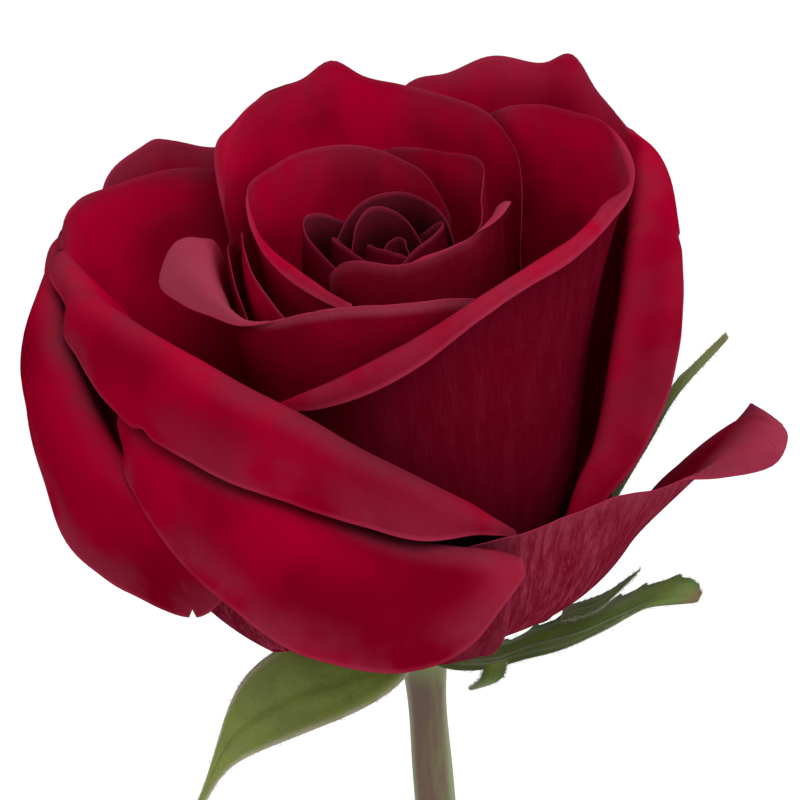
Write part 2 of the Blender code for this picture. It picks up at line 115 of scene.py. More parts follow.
class StageSettings(bpy.types.PropertyGroup):
    floor: colour("Floor", "Colour of the floor", (0.72, 0.72, 0.72))
    sky: amount("Sky", "Strength of the light from all round", 1.28, 0.0, 10.0)
    key: amount("Key light", "Power of the large soft light, in watts", 4.2, 0.0, 1000.0)
    distance: size("Camera distance", "From the bloom to the camera", 380 * MM)
    elevation: FloatProperty(name="Camera elevation", description="Angle above the horizon",
                             default=radians(32), subtype="ANGLE")
    field: size("Field width", "Width of the picture at the bloom", 108 * MM)


# The bloom's own frame: its origin is where the petals join the hip, its Z axis runs up
# the stem, and its lengths are millimetres

# The dome under the petals: its top, and the rounded shape that the petals' roots lie on
DOME_TOP = 8.5
DOME_RADIUS, DOME_HEIGHT, DOME_LEVEL = 7.6, 12.0, -3.0


def unit(v):
    """Vectors along the last axis, brought to length 1."""
    return v / np.maximum(np.linalg.norm(v, axis=-1, keepdims=True), 1e-9)


def node_points(name):
    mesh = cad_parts[name].data
    points = np.empty(len(mesh.vertices) * 3, np.float32)
    mesh.vertices.foreach_get("co", points)
    return points.reshape(-1, 3).astype(float)


def bloom_frame():
    """Origin and axes of the bloom, from the stem's foot and the dome's top in the frame."""
    points = node_points("stem_and_hip")
    top = points[points[:, 2].argmax()]
    foot = points[points[:, 2] < points[:, 2].min() + 0.5 * MM].mean(axis=0)
    up = unit(top - foot)
    side = unit(np.cross([0, 1, 0], up))
    axes = np.stack([side, np.cross(up, side), up])
    return top - up * DOME_TOP * MM, axes


BLOOM_AT, BLOOM_AXES = bloom_frame()


def placed(points):
    """Points of the bloom's frame, in millimetres, taken to the shared frame in metres."""
    return BLOOM_AT + MM * points @ BLOOM_AXES


def in_bloom(points):
    """The way back: points of the shared frame in the bloom's frame, in millimetres."""
    return (points - BLOOM_AT) @ BLOOM_AXES.T / MM


# Curves

def smooth(t):
    """0 up to 0, 1 from 1 and smooth between: three times the square minus twice the cube."""
    t = np.clip(t, 0, 1)
    return t * t * (3 - 2 * t)


def bump_at(x, middle, width):
    """A smooth hill of height 1: e to the minus square of the distance over the width."""
    return np.exp(-((x - middle) / width)**2)


def through(x, knots, values):
    """Smooth curve through the knots, with slopes from the neighbours."""
    knots, values = np.asarray(knots, float), np.asarray(values, float)
    steps = np.diff(knots)
    rises = np.diff(values) / steps
    slopes = np.empty_like(values)
    slopes[1:-1] = (rises[:-1] * steps[1:] + rises[1:] * steps[:-1]) / (steps[:-1] + steps[1:])
    slopes[0], slopes[-1] = rises[0], rises[-1]
    i = np.clip(np.searchsorted(knots, x) - 1, 0, len(steps) - 1)
    h = steps[i]
    t = (x - knots[i]) / h
    return ((2 * t**3 - 3 * t**2 + 1) * values[i] + (t**3 - 2 * t**2 + t) * h * slopes[i]
            + (3 * t**2 - 2 * t**3) * values[i + 1] + (t**3 - t**2) * h * slopes[i + 1])


def heading(angle):
    return np.stack([np.cos(angle), np.sin(angle)], -1)


def bezier(a, b, c, d, t):
    """Cubic Bezier of four points, or of each column's four, at the values of t."""
    a, b, c, d = (p[..., None, :] for p in (a, b, c, d))
    t = t[..., None]
    return (1 - t)**3 * a + 3 * (1 - t)**2 * t * b + 3 * (1 - t) * t * t * c + t**3 * d


def length(v):
    return np.hypot(v[..., 0], v[..., 1])


def even_rows(curve, shares):
    """Each column's curve again, at the given shares of its own length.

    The columns' running lengths are laid end to end, so that one
    interpolation serves them all. Also gives each column's whole length.
    """
    steps = np.linalg.norm(np.diff(curve, axis=1), axis=2)
    run = np.concatenate([np.zeros((len(curve), 1)), np.cumsum(steps, axis=1)], 1)
    whole = run[:, -1:]
    index = np.arange(len(curve))[:, None]
    known = (0.999 * run / whole + index).ravel()
    wanted = (0.999 * np.clip(shares, 0, 1) + index).ravel()
    rows = [np.interp(wanted, known, curve[..., k].ravel()) for k in range(2)]
    return np.stack(rows, -1).reshape(len(curve), -1, 2), whole[:, 0]


# Petals, in millimetres and degrees: the solids' own table, but for a few sides and rims
# that the fine surfaces carry a little further or end a little sooner

Petal = namedtuple("Petal", "name belly columns lean curl taper tuck roll sag")
Petal.__doc__ = """One petal of the table.

belly: radius and height that the wall passes, and its heading there.
columns: angle round the bloom, crest radius and height, and where the
rim is rolled over also the margin's radius and height.
lean: heading at a plain crest. curl: heading at a rolled margin.
taper: how far up the side columns start, as a share of their length.
tuck, sag: change of the belly's radius and height towards the last side.
roll: length of the bend just before a rolled crest.
"""


def petal(name, belly, columns, lean=80, curl=-80, taper=0.4, tuck=0.0, roll=2.5, sag=0.0):
    return Petal(name, belly, columns, lean, curl, taper, tuck, roll, sag)


def heart_petal(name, middle, half_span, belly, top, drop, lean):
    """A plain wrapped petal of the heart, highest in its middle."""
    spread = (-1, -0.6, 0, 0.6, 1)
    columns = [(middle + half_span * u, top[0] + 0.35 * u, top[1] - drop * u * u) for u in spread]
    return petal(name, (belly[0], belly[1], 90), columns, lean)


# Heart petals: middle angle, half span, belly, top of the rim, drop to the sides, lean
HEART = [
    (60, 100, (2.6, 32), (1.7, 55.0), 3, 100),
    (235, 95, (3.7, 31), (3.2, 56.0), 3, 100),
    (120, 85, (4.9, 30), (4.7, 58.0), 5, 97),
    (340, 80, (6.1, 30), (6.0, 57.8), 5, 97),
    (215, 75, (7.3, 29), (7.4, 57.6), 6, 96),
    (85, 75, (8.5, 29), (8.3, 58.0), 6, 96),
    (310, 70, (9.7, 28), (9.2, 56.5), 6, 95),
    (190, 70, (10.9, 28), (10.9, 59.0), 6, 94),
]

PETALS = [heart_petal(f"heart_petal_{i + 1}", *row) for i, row in enumerate(HEART)] + [
    petal("petal_inner_right", (14.2, 27, 90), [
        (-38, 10.6, 55.5), (-15, 10.8, 57.8), (11, 11.3, 58.9), (38, 14.5, 60.9),
        (67, 16.7, 59.7), (97, 19.0, 58.4), (118, 20.2, 54)], lean=92, tuck=2.7),
    petal("petal_inner_front", (13.4, 27, 90), [
        (232, 12.4, 56.5), (244, 13.2, 59.2), (275, 13.8, 59.5), (314, 14.1, 60.6),
        (332, 13.9, 61.2, 15.0, 61.4), (346, 13.6, 60.5, 15.2, 61.4), (357, 13.6, 57)],
        lean=90, roll=1),
    petal("petal_inner_back", (14.3, 27, 90), [
        (55, 12.6, 53), (63, 12.6, 56.6), (86, 15.0, 59.2), (101, 17.0, 60.3), (128, 18.4, 61.1),
        (148, 18.4, 61.4), (171, 17.8, 61.8), (191, 16.8, 60.2, 17.6, 60),
        (213, 15.8, 58.3, 17.0, 57.6), (232, 15.5, 57, 16.6, 56), (251, 15.3, 54.6, 16.0, 53.8)],
        lean=88, tuck=0.7, roll=1),
    petal("petal_left_sliver", (15.8, 26, 88), [
        (168, 19.2, 54), (187, 18.6, 58.8), (195, 18.8, 58.5), (207, 19.0, 56.7),
        (219, 18.8, 54.3), (235, 18.3, 50), (250, 17.7, 44)], lean=92),
    petal("petal_left_tuck", (16.9, 25, 88), [
        (161, 20.2, 50), (178, 20.3, 56), (189, 20.4, 56.9), (197, 20.4, 55.6),
        (205, 20.4, 53), (216, 20.1, 48)], lean=92),
    petal("petal_front_fold", (19.0, 24, 88), [
        (166, 22.6, 51), (178, 22.8, 56.5, 27.5, 56.3), (186, 22.8, 56.5, 29.4, 53.2),
        (196, 22.8, 55.2, 27, 52), (206, 22.7, 53.5, 24.6, 52), (216, 22.7, 53.2, 23.7, 52.5),
        (247, 21.9, 57.6), (273, 22.0, 58.8), (295, 21.4, 57.5), (318, 20.5, 53)],
        lean=90, curl=-40, taper=0.15, roll=1.6),
    petal("petal_back_tall", (20.2, 24.5, 85), [
        (26, 17.8, 50), (37, 20.6, 56.6), (47, 23.3, 58.9), (58, 24.7, 61.6), (72, 26.2, 62.8),
        (87, 26.8, 64.2), (97, 26.9, 65.6), (105, 27, 68.3), (115, 26.7, 66.7), (128, 26.3, 66.3),
        (140, 24.8, 64.6, 26.2, 64.4), (152, 23.8, 61, 25.4, 61.5), (158, 23.6, 56)],
        lean=84, curl=-30),
    petal("petal_right_wrap", (22.0, 23, 84), [
        (-125, 25.7, 45.3, 26.4, 44.6), (-111, 25.9, 49.2, 27.8, 47.2),
        (-96, 25.9, 53.2, 28.6, 50.6), (-84, 25.4, 55.6, 28.3, 53.6),
        (-71, 24.9, 58.1, 27.2, 56.6), (-51, 24.2, 60.2, 26.2, 59),
        (-32, 24.8, 60.8, 26.6, 59.8), (-13, 26.0, 60.8, 27.6, 59.8), (4, 29.2, 61.6, 30.6, 61.4),
        (18, 28.8, 65.0), (31, 27.6, 64.6), (45, 27.0, 63.6), (55, 26.8, 62.3), (66, 28.2, 59)],
        taper=0.15),
    petal("petal_left_wrap", (24.2, 21.5, 80), [
        (136, 29.5, 56), (150, 33.5, 58.5), (160, 38.0, 58.7), (170, 40.8, 59.3),
        (180, 41.0, 57.5, 42.2, 56.6), (190, 39.2, 55.2, 41.6, 51.8), (201, 36.7, 55.0, 40.6, 47.8),
        (213, 34.6, 54.4, 39.8, 44.8), (226, 33.2, 53.3, 39.0, 43.9), (238, 33.0, 51.6, 38.8, 42.7),
        (250, 33, 49.3, 38.7, 41.2), (262, 32.8, 45.2, 38.2, 38.6), (272, 32.4, 41.4, 37.6, 36),
        (285, 31.4, 35.4, 33.6, 32.6), (296, 30.0, 29.2, 30.6, 28.4)], lean=84, roll=5),
    petal("petal_right_outer", (26.4, 19.5, 76), [
        (-46, 27.4, 22.5, 29.2, 21.8), (-37, 27.8, 28.4, 31, 27.4),
        (-27, 28.4, 32.6, 32.8, 30.4), (-19, 28.8, 37.6, 34.6, 34.8),
        (-8, 29.2, 44.2, 35.6, 41.2), (8, 31.2, 52.4, 36.6, 50), (19, 34.0, 58.4, 37.2, 57),
        (31, 35.2, 60.5), (39, 34.6, 63.8), (46, 34.9, 67.5), (54, 34.7, 65.3), (67, 33.8, 65.4),
        (76, 33, 63.1), (85, 32.1, 62), (96, 30.8, 56)], lean=70, roll=4),
    petal("petal_back_left", (27.8, 19, 72), [
        (112, 33, 50), (122, 36, 54), (132, 39, 55.7), (137, 42.5, 57.2), (142, 43.6, 56.6),
        (149, 44.4, 54.8), (154, 44.0, 51.5)], lean=60),
    petal("petal_back_outer", (29.6, 18.5, 70), [
        (50, 36.0, 44), (62, 37.6, 49.5), (84, 38.9, 52), (98, 39.2, 52.4), (112, 40, 51.4),
        (126, 40.6, 47), (142, 40.8, 42), (158, 39.6, 36)], lean=66),
    petal("petal_front_right", (29.6, 16.5, 64), [
        (266, 31.9, 28.2), (275, 32.2, 29.4), (284, 32.8, 30.4), (291, 33.3, 31.2),
        (297, 34.2, 31.8), (303, 34.8, 32.4), (317, 35.8, 31.6), (327, 37.2, 29.8),
        (334, 38.4, 28.8, 38.6, 28.4),
        (340, 41.4, 29.4, 42.0, 26.8), (346, 43.4, 30.4, 47.6, 26.6), (350, 44.4, 30.6, 48.8, 28.0),
        (354, 44.8, 29.6, 48.0, 28.0), (358, 44.4, 29.4, 44.8, 28.8)], lean=62, sag=-3),
    petal("petal_front_low", (31.8, 18.5, 70), [
        (200, 36.0, 41.5), (207, 36.6, 42.4, 38.6, 41.6), (213, 36.7, 43.0, 40.8, 38.6),
        (221, 36.3, 42.4, 42.0, 35.6), (232, 35.9, 41.5, 42.8, 30.9), (241, 35.7, 40.6, 43.0, 27.6),
        (250, 35.5, 39.4, 42.9, 23.2), (259, 35.3, 37.2, 42.0, 20.6), (269, 35.2, 34.6, 41.2, 19.0),
        (280, 35.6, 32.6, 40.8, 21.8), (287, 36.2, 31.4, 39.8, 26.4), (292, 36.2, 29.8, 37.6, 28)],
        lean=60, roll=3.5),
    petal("petal_left_low", (33.6, 17, 66), [
        (160, 41.5, 50, 42, 49.8), (166, 42.6, 53, 43.4, 53), (175, 42.8, 53.8, 44.8, 52.4),
        (181, 42.6, 53.0, 45.2, 46.0), (188, 42.2, 50.6, 48.4, 37.4), (195, 41.8, 47.2, 47.6, 29.8),
        (201, 41.2, 43.4, 46.6, 24.6), (208, 40.4, 39.0, 44.2, 21.6), (216, 39.2, 36.6, 41.8, 20.2),
        (224, 38.4, 35, 39.9, 19.2), (232, 38.2, 32.6, 39.6, 22.4), (239, 37.9, 30.6, 38.4, 28.6)],
        lean=60, taper=0.6),
]

# Handles of the profiles' curves, as shares of the distances that they bridge
ROOT_PULL, BELLY_PULL, CREST_PULL, LIP_PULL, MARGIN_PULL = 0.34, 0.42, 0.38, 0.42, 0.35
# Heading at a rolled crest, the lip's length in millimetres from which a crest is fully
# rolled, and the share of a petal's width that does not start further up
ROLLED_HEADING, FULL_LIP, UNTAPERED = radians(8), 3.5, 0.15
BODY_STEPS, LIP_STEPS = 50, 24


def root_of(rank):
    """Where a petal leaves the dome and its heading: inner ones near the top, outer at the edge."""
    share = rank / (len(PETALS) - 1)
    f = radians(8 + 82 * share)
    root = np.array([DOME_RADIUS * sin(f), DOME_LEVEL + DOME_HEIGHT * cos(f)])
    return root, radians(88 - 62 * share)


def petal_profiles(p, rank, angles):
    """Radius and height of each column's profile, from the root to the margin.

    A column is two cubic Beziers, root to belly and belly to crest, and a
    third over the rolled lip. The crest and the margin run smoothly through
    the table's columns, the belly comes down where the crest is low, and
    the columns start further up towards the petal's sides. Also gives the
    length up to the crest.
    """
    table = np.array([c if len(c) == 5 else c + c[1:] for c in p.columns], float)
    crest_r, crest_z, margin_r, margin_z = (through(angles, table[:, 0], table[:, k])
                                            for k in range(1, 5))
    first, last = table[0, 0], table[-1, 0]
    across = (angles - first) / (last - first)
    root, rise = root_of(rank)
    crest, margin = np.stack([crest_r, crest_z], -1), np.stack([margin_r, margin_z], -1)
    belly_r, belly_z, belly_heading = p.belly
    low = np.clip((crest_z - 6) / (belly_z + 6), 0.2, 1)
    belly = np.stack([belly_r + p.tuck * (2 * smooth(across) - 1),
                      (belly_z + p.sag * (2 * across - 1)) * low], -1)

    lip = length(margin - crest)
    rolled = smooth(lip / FULL_LIP)[:, None]
    lower, upper = length(belly - root)[:, None], length(crest - belly)[:, None]
    at_belly = heading(radians(belly_heading))
    plain = CREST_PULL * upper * heading(radians(p.lean))
    bent = np.minimum(CREST_PULL * upper, p.roll) * heading(ROLLED_HEADING)
    bend = (1 - rolled) * plain + rolled * bent
    at_crest = bend / length(bend)[:, None]

    start = p.taper * smooth((np.abs(2 * across - 1) - UNTAPERED) / (1 - UNTAPERED))
    rows = start[:, None] + (1 - start[:, None]) * np.linspace(0, 1, BODY_STEPS)
    share = lower / (lower + upper)
    below = bezier(root, root + ROOT_PULL * lower * heading(rise),
                   belly - BELLY_PULL * lower * at_belly, belly, np.clip(rows / share, 0, 1))
    above = bezier(belly, belly + BELLY_PULL * upper * at_belly, crest - bend, crest,
                   np.clip((rows - share) / (1 - share), 0, 1))
    body = np.where((rows <= share)[..., None], below, above)
    up_to_crest = np.linalg.norm(np.diff(body, axis=1), axis=2).sum(axis=1)
    if lip.max() == 0:
        return body, up_to_crest
    lip = lip[:, None]
    fold = bezier(crest, crest + LIP_PULL * lip * at_crest,
                  margin - MARGIN_PULL * lip * heading(radians(p.curl)), margin,
                  np.linspace(0, 1, LIP_STEPS + 1)[None, 1:])
    return np.concatenate([body, fold], 1), up_to_crest


# Meshes

def normals_of(grid):
    """Unit normals of a grid of points: the cross product of its two directions."""
    return unit(np.cross(np.gradient(grid, axis=0), np.gradient(grid, axis=1)))


def grid_faces(columns, rows):
    index = np.arange(columns * rows).reshape(columns, rows)
    faces = np.stack([index[:-1, :-1], index[1:, :-1], index[1:, 1:], index[:-1, 1:]], -1)
    return faces.reshape(-1, 4)


def border_of(columns, rows):
    """Indices once round a grid's border, and for each the index of the point inside it."""
    index = np.arange(columns * rows).reshape(columns, rows)
    loop = np.concatenate([index[:-1, 0], index[-1, :-1], index[:0:-1, -1], index[0, :0:-1]])
    return loop, np.clip(loop // rows, 1, columns - 2) * rows + np.clip(loop % rows, 1, rows - 2)


def two_faced(grid, thickness):
    """A closed wall round a middle surface.

    Each face is the surface moved half the thickness along its normal, one
    way and the other, and the loop between them stands half the thickness
    beyond the border. Gives the points, the quads and each point's source
    in the grid, with 0, 1 or one half for the outer face, the inner face
    or the loop.
    """
    columns, rows = grid.shape[:2]
    half = thickness.reshape(-1, 1) / 2
    middle, normal = grid.reshape(-1, 3), normals_of(grid).reshape(-1, 3)
    loop, inside = border_of(columns, rows)
    outward = unit(middle[loop] - middle[inside])
    points = np.concatenate([middle + half * normal, middle - half * normal,
                             middle[loop] + half[loop] * outward])
    count = columns * rows
    faces = grid_faces(columns, rows)
    ring = 2 * count + np.arange(len(loop))
    onward, ring_onward = np.roll(loop, -1), np.roll(ring, -1)
    near = np.stack([loop, ring, ring_onward, onward], -1)
    far = np.stack([ring, loop + count, onward + count, ring_onward], -1)
    quads = np.concatenate([faces, faces[:, ::-1] + count, near, far])
    source = np.concatenate([np.arange(count), np.arange(count), loop])
    side = np.concatenate([np.zeros(count), np.ones(count), np.full(len(loop), 0.5)])
    return points, quads, source, side


def add_piece(name, node, points, faces, material, numbers=(), vectors=()):
    """A smooth-shaded piece at the origin that stands for a node, with its point attributes."""
    mesh = bpy.data.meshes.new(name)
    mesh.from_pydata(points, [], faces)
    mesh.shade_smooth()
    for kind, key, group in (("FLOAT", "value", numbers), ("FLOAT_VECTOR", "vector", vectors)):
        for label, values in dict(group).items():
            attribute = mesh.attributes.new(label, kind, "POINT")
            attribute.data.foreach_set(key, np.asarray(values, np.float32).ravel())
    mesh.materials.append(material)
    piece = bpy.data.objects.new(name, mesh)
    bpy.context.collection.objects.link(piece)
    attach(piece, "root")
    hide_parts(node)


# Materials

class Wire:
    """One socket of a material's nodes; arithmetic on it adds Math nodes."""

    def __init__(self, tree, socket):
        self.tree, self.socket = tree, socket

    def math(self, operation, *values):
        return self.tree.node("Math", {"operation": operation}, dict(enumerate(values)))

    def __add__(self, other):
        return self.math("ADD", self, other)

    def __sub__(self, other):
        return self.math("SUBTRACT", self, other)

    def __rsub__(self, other):
        return self.math("SUBTRACT", other, self)

    def __mul__(self, other):
        return self.math("MULTIPLY", self, other)

    __radd__, __rmul__ = __add__, __mul__

    def size(self):
        return self.math("ABSOLUTE", self)

    def rise(self, low, high):
        """0 below low, 1 above high and smooth between; falls where low is above high."""
        return self.tree.node("MapRange", {"interpolation_type": "SMOOTHSTEP"},
                              {"Value": self, "From Min": low, "From Max": high})

    def hill(self, width):
        """1 where the value is 0, falling away on both sides over the width."""
        return self.size().rise(width, 0)


class Finish:
    """A material and the ways that its nodes are made."""

    def __init__(self, name):
        self.material = bpy.data.materials.new(name)
        self.material.use_nodes = True
        self.nodes = self.material.node_tree.nodes
        self.links = self.material.node_tree.links
        self.shader = self.nodes["Principled BSDF"]

    def node(self, kind, settings=None, inputs=None, output=0):
        made = self.nodes.new("ShaderNode" + kind)
        for key, value in (settings or {}).items():
            setattr(made, key, value)
        self.connect(made, inputs or {})
        return Wire(self, made.outputs[output])

    def connect(self, node, inputs):
        for key, value in inputs.items():
            if isinstance(value, Wire):
                self.links.new(value.socket, node.inputs[key])
            else:
                node.inputs[key].default_value = value

    def number(self, label):
        return self.node("Attribute", {"attribute_name": label}, output="Fac")

    def vector(self, label):
        return self.node("Attribute", {"attribute_name": label}, output="Vector")

    def place(self):
        return self.node("TexCoord", output="Object")

    def stretched(self, vector, scale):
        return self.node("VectorMath", {"operation": "MULTIPLY"}, {0: vector, 1: scale})

    def noise(self, vector, scale, detail=2.0, roughness=0.5, distortion=0.0):
        return self.node("TexNoise", inputs={"Vector": vector, "Scale": scale, "Detail": detail,
                                             "Roughness": roughness, "Distortion": distortion})

    def mix(self, factor, one, other):
        one, other = (c if isinstance(c, Wire) else (*c, 1.0) for c in (one, other))
        return self.node("Mix", {"data_type": "RGBA"}, {0: factor, 6: one, 7: other}, 2)

    def bump(self, height, distance, strength=1.0):
        return self.node("Bump", inputs={"Height": height, "Distance": distance,
                                         "Strength": strength})

    def finish(self, **inputs):
        self.connect(self.shader, {key.replace("_", " "): value for key, value in inputs.items()})
        return self.material


def petal_finish(name, s, cup, lip, shade, painted_shade=(14.0, 34.0, 0.35)):
    """Velvet inside, wine outside, mauve dust near the rims and a thin pale margin.

    The point attributes give millimetres to the margin and past the crest,
    which face is which, and how dusty, dull, frosted and wine-dark the
    petal is. Flecks run from the foot to the rim. Sinking gives where the
    velvet begins to darken inwards from the rim and where it ends, in
    millimetres, and how far it goes.
    """
    f = Finish(name)
    margin, crest, inner = f.number("margin"), f.number("crest"), f.number("inner")
    mauve_sheen, dull, frost, wine = (f.number(label) for label in CHARACTER)
    fan, place = f.vector("fan"), f.place()
    cloud = f.noise(place, 75.0, 3.0)
    fleck = f.noise(f.stretched(fan, (0.55, 0.13, 1.0)), 1.0, 4.0, 0.62, 0.5)
    fine = f.noise(f.stretched(fan, (2.6, 0.6, 1.0)), 1.0, 3.0, 0.65, 0.8)
    grain = f.noise(place, 4200.0, 1.0)
    flecks = fleck.rise(0.42, 0.68) * 0.5 + fine.rise(0.45, 0.72) * 0.5

    # Painted light: the cup's velvet is lighter and the rolled lip's darker; the broad bright
    # patches on the lip are random
    rolled_out = crest.rise(-2.5, 4.0)
    broad = f.noise(place, 42.0, 2.0)
    velvet = f.mix(rolled_out, cup, f.mix(broad.rise(0.40, 0.58), lip, lip * 1.6))
    gathered = cloud.rise(0.38, 0.72) * 0.55 + fleck.rise(0.4, 0.8) * 0.15
    # Darker velvet in random patches
    velvet = f.mix(gathered, velvet, shade)
    # Painted shade: the velvet darkens inwards from the rim, towards the foot of the cup
    starts, ends, depth = painted_shade
    velvet = f.mix(margin.rise(starts, ends) * depth, velvet, shade * 0.35)
    # The outer face's darker red, partly painted shade; the dull petals' inner faces take it too
    back = f.mix(wine, velvet, s.wine)
    front = f.mix(dull, velvet, s.wine)
    # Painted sheen: mauve near the rims, on the crests and along the folded petals' rims, and on the
    # dull petals' rolled lips
    near_rim = margin.rise(9.0, 0.3)
    on_crest = crest.hill(4.0)
    folded = mauve_sheen.rise(0.7, 1.0)
    sheen_bands = (near_rim * cloud.rise(0.40, 0.58) * 0.8
             + on_crest * (0.25 + 0.5 * cloud.rise(0.4, 0.6))
             + rolled_out * folded + margin.rise(2.4, 0.4) * folded
             + rolled_out * dull.rise(0.5, 0.6) * 1.6)
    front = f.mix(sheen_bands * mauve_sheen * (0.7 + 0.3 * flecks), front, s.mauve)
    # Painted sheen: a darker mauve haze on the crests
    dark_crest_sheen = on_crest * cloud.rise(0.3, 0.6) * mauve_sheen.rise(0.3, 0.4) * (1 - folded)
    front = f.mix(dark_crest_sheen * 0.6, front, s.mauve * 0.45)
    # The outer face's pale flecks, with painted sheen near its rims and on its crests
    flecks_and_sheen = (frost * (0.12 + 1.05 * flecks)
               + (near_rim * 0.12 + on_crest * 0.25) * frost.rise(0.0, 0.4))
    back = f.mix(flecks_and_sheen, back, s.mauve)
    # Painted sheen: a mauve band along the folded petals' outer rims
    back = f.mix(margin.rise(1.9, 0.5) * folded * 0.9, back, s.mauve)
    body = f.mix(inner, back, front)
    # Painted highlight: a thin pale line along the rims
    edge = margin.rise(0.8, 0.1) * (0.3 + 0.4 * cloud.rise(0.35, 0.6))
    colour = f.mix(edge, body, s.margin)
    relief = (fleck * 0.6 + fine * 0.35) * (1 - inner * 0.75) + grain * 0.05 + cloud * 0.4
    return f.finish(Base_Color=colour, Roughness=0.62 + inner * 0.12,
                    Normal=f.bump(relief, 0.5 * MM, 0.55), Specular_IOR_Level=0.0)


# Building the petals

# For each petal, from 0 to 1: how much painted mauve sheen it has, how dull and how pale-flecked
# it is, and how dark its outer face is, partly as painted shade
CHARACTER = ("mauve_sheen", "dull", "frost", "wine")
PLAIN = (0.2, 0.0, 0.05, 1.0)
CHARACTERS = {
    "petal_inner_right": (0.25, 0.0, 0.1, 0.5), "petal_inner_back": (0.25, 0.0, 0.1, 0.3),
    "petal_inner_front": (0.82, 0.0, 0.1, 0.8), "petal_left_sliver": (0.2, 0.0, 0.0, 0.0),
    "petal_left_tuck": (0.2, 0.0, 0.0, 0.2), "petal_front_fold": (1.0, 0.0, 0.05, 0.5),
    "petal_back_tall": (0.2, 0.0, 0.1, 1.0), "petal_right_wrap": (0.3, 0.0, 0.12, 1.0),
    "petal_left_wrap": (0.42, 0.0, 0.2, 1.0), "petal_right_outer": (0.3, 0.0, 0.3, 1.0),
    "petal_back_left": (0.35, 0.45, 0.4, 1.0), "petal_front_right": (0.6, 0.6, 1.0, 0.8),
    "petal_front_low": (0.65, 0.0, 0.6, 1.0), "petal_left_low": (0.65, 0.0, 1.0, 1.0)}

# Pleats: angle and its width in degrees, place past the crest and its width, and height, in mm
PLEATS = {
    "petal_left_wrap": [(179, 2.6, 1, 5, 0.8), (184, 2.2, 3, 5, -0.9), (189, 2.4, 4, 6, 0.8),
                        (195, 2.6, 6, 5, -0.5), (214, 5, 8, 3, 0.6)],
    "petal_back_left": [(136, 1.6, -3, 6, 0.7), (140, 2.0, -3, 6, -0.4)],
    "petal_front_low": [(211, 3.0, 5, 3, 0.6)],
    "petal_left_low": [(186, 3.0, 12, 4, -0.5), (199, 3.5, 16, 4, 0.4)],
    "petal_right_wrap": [(2, 4, 1, 4, 0.5), (-9, 4, 1, 5, -0.4)]}

# Notches in a rim: angle and half width in degrees, and depth in mm
NOTCHES = {"petal_left_low": [(227, 1.0, 1.3)], "petal_right_outer": [(8, 1.0, 0.9)],
           "petal_left_wrap": [(219, 3.0, 1.0)], "petal_front_right": [(353.5, 1.6, 1.6)]}

# In millimetres: unevenness of a margin, how far in from it the ripples and the thinning
# reach, and the heights that the sway fades in from and over
RAGGED, RIPPLE_REACH, THINNING_REACH = 0.1, 4.0, 5.0
SWAY_FROM, SWAY_OVER = 8.0, 18.0


def shared_sway(turn, height):
    """Slow in-and-out sway in millimetres, one for all petals, so that their gaps stay.

    Four sines, each of so many waves a turn and of a slow drift with height.
    """
    terms = ((0.16, 2, 0.13, 0), (0.14, 3, -0.21, 1.3), (0.10, 5, 0.17, 0.4), (0.06, 9, -0.3, 0))
    return sum(far * np.sin(waves * turn + drift * height + at) for far, waves, drift, at in terms)


def rim_waves(turn, seed, radius):
    """Uneven waves along a rim: three sines of unrelated lengths, from -1 to 1."""
    around = turn * radius
    return (0.6 * np.sin(around * 0.23 + 1.7 * seed) + 0.3 * np.sin(around * 0.51 + 2.9 * seed)
            + 0.1 * np.sin(around * 1.3 + 4.1 * seed))


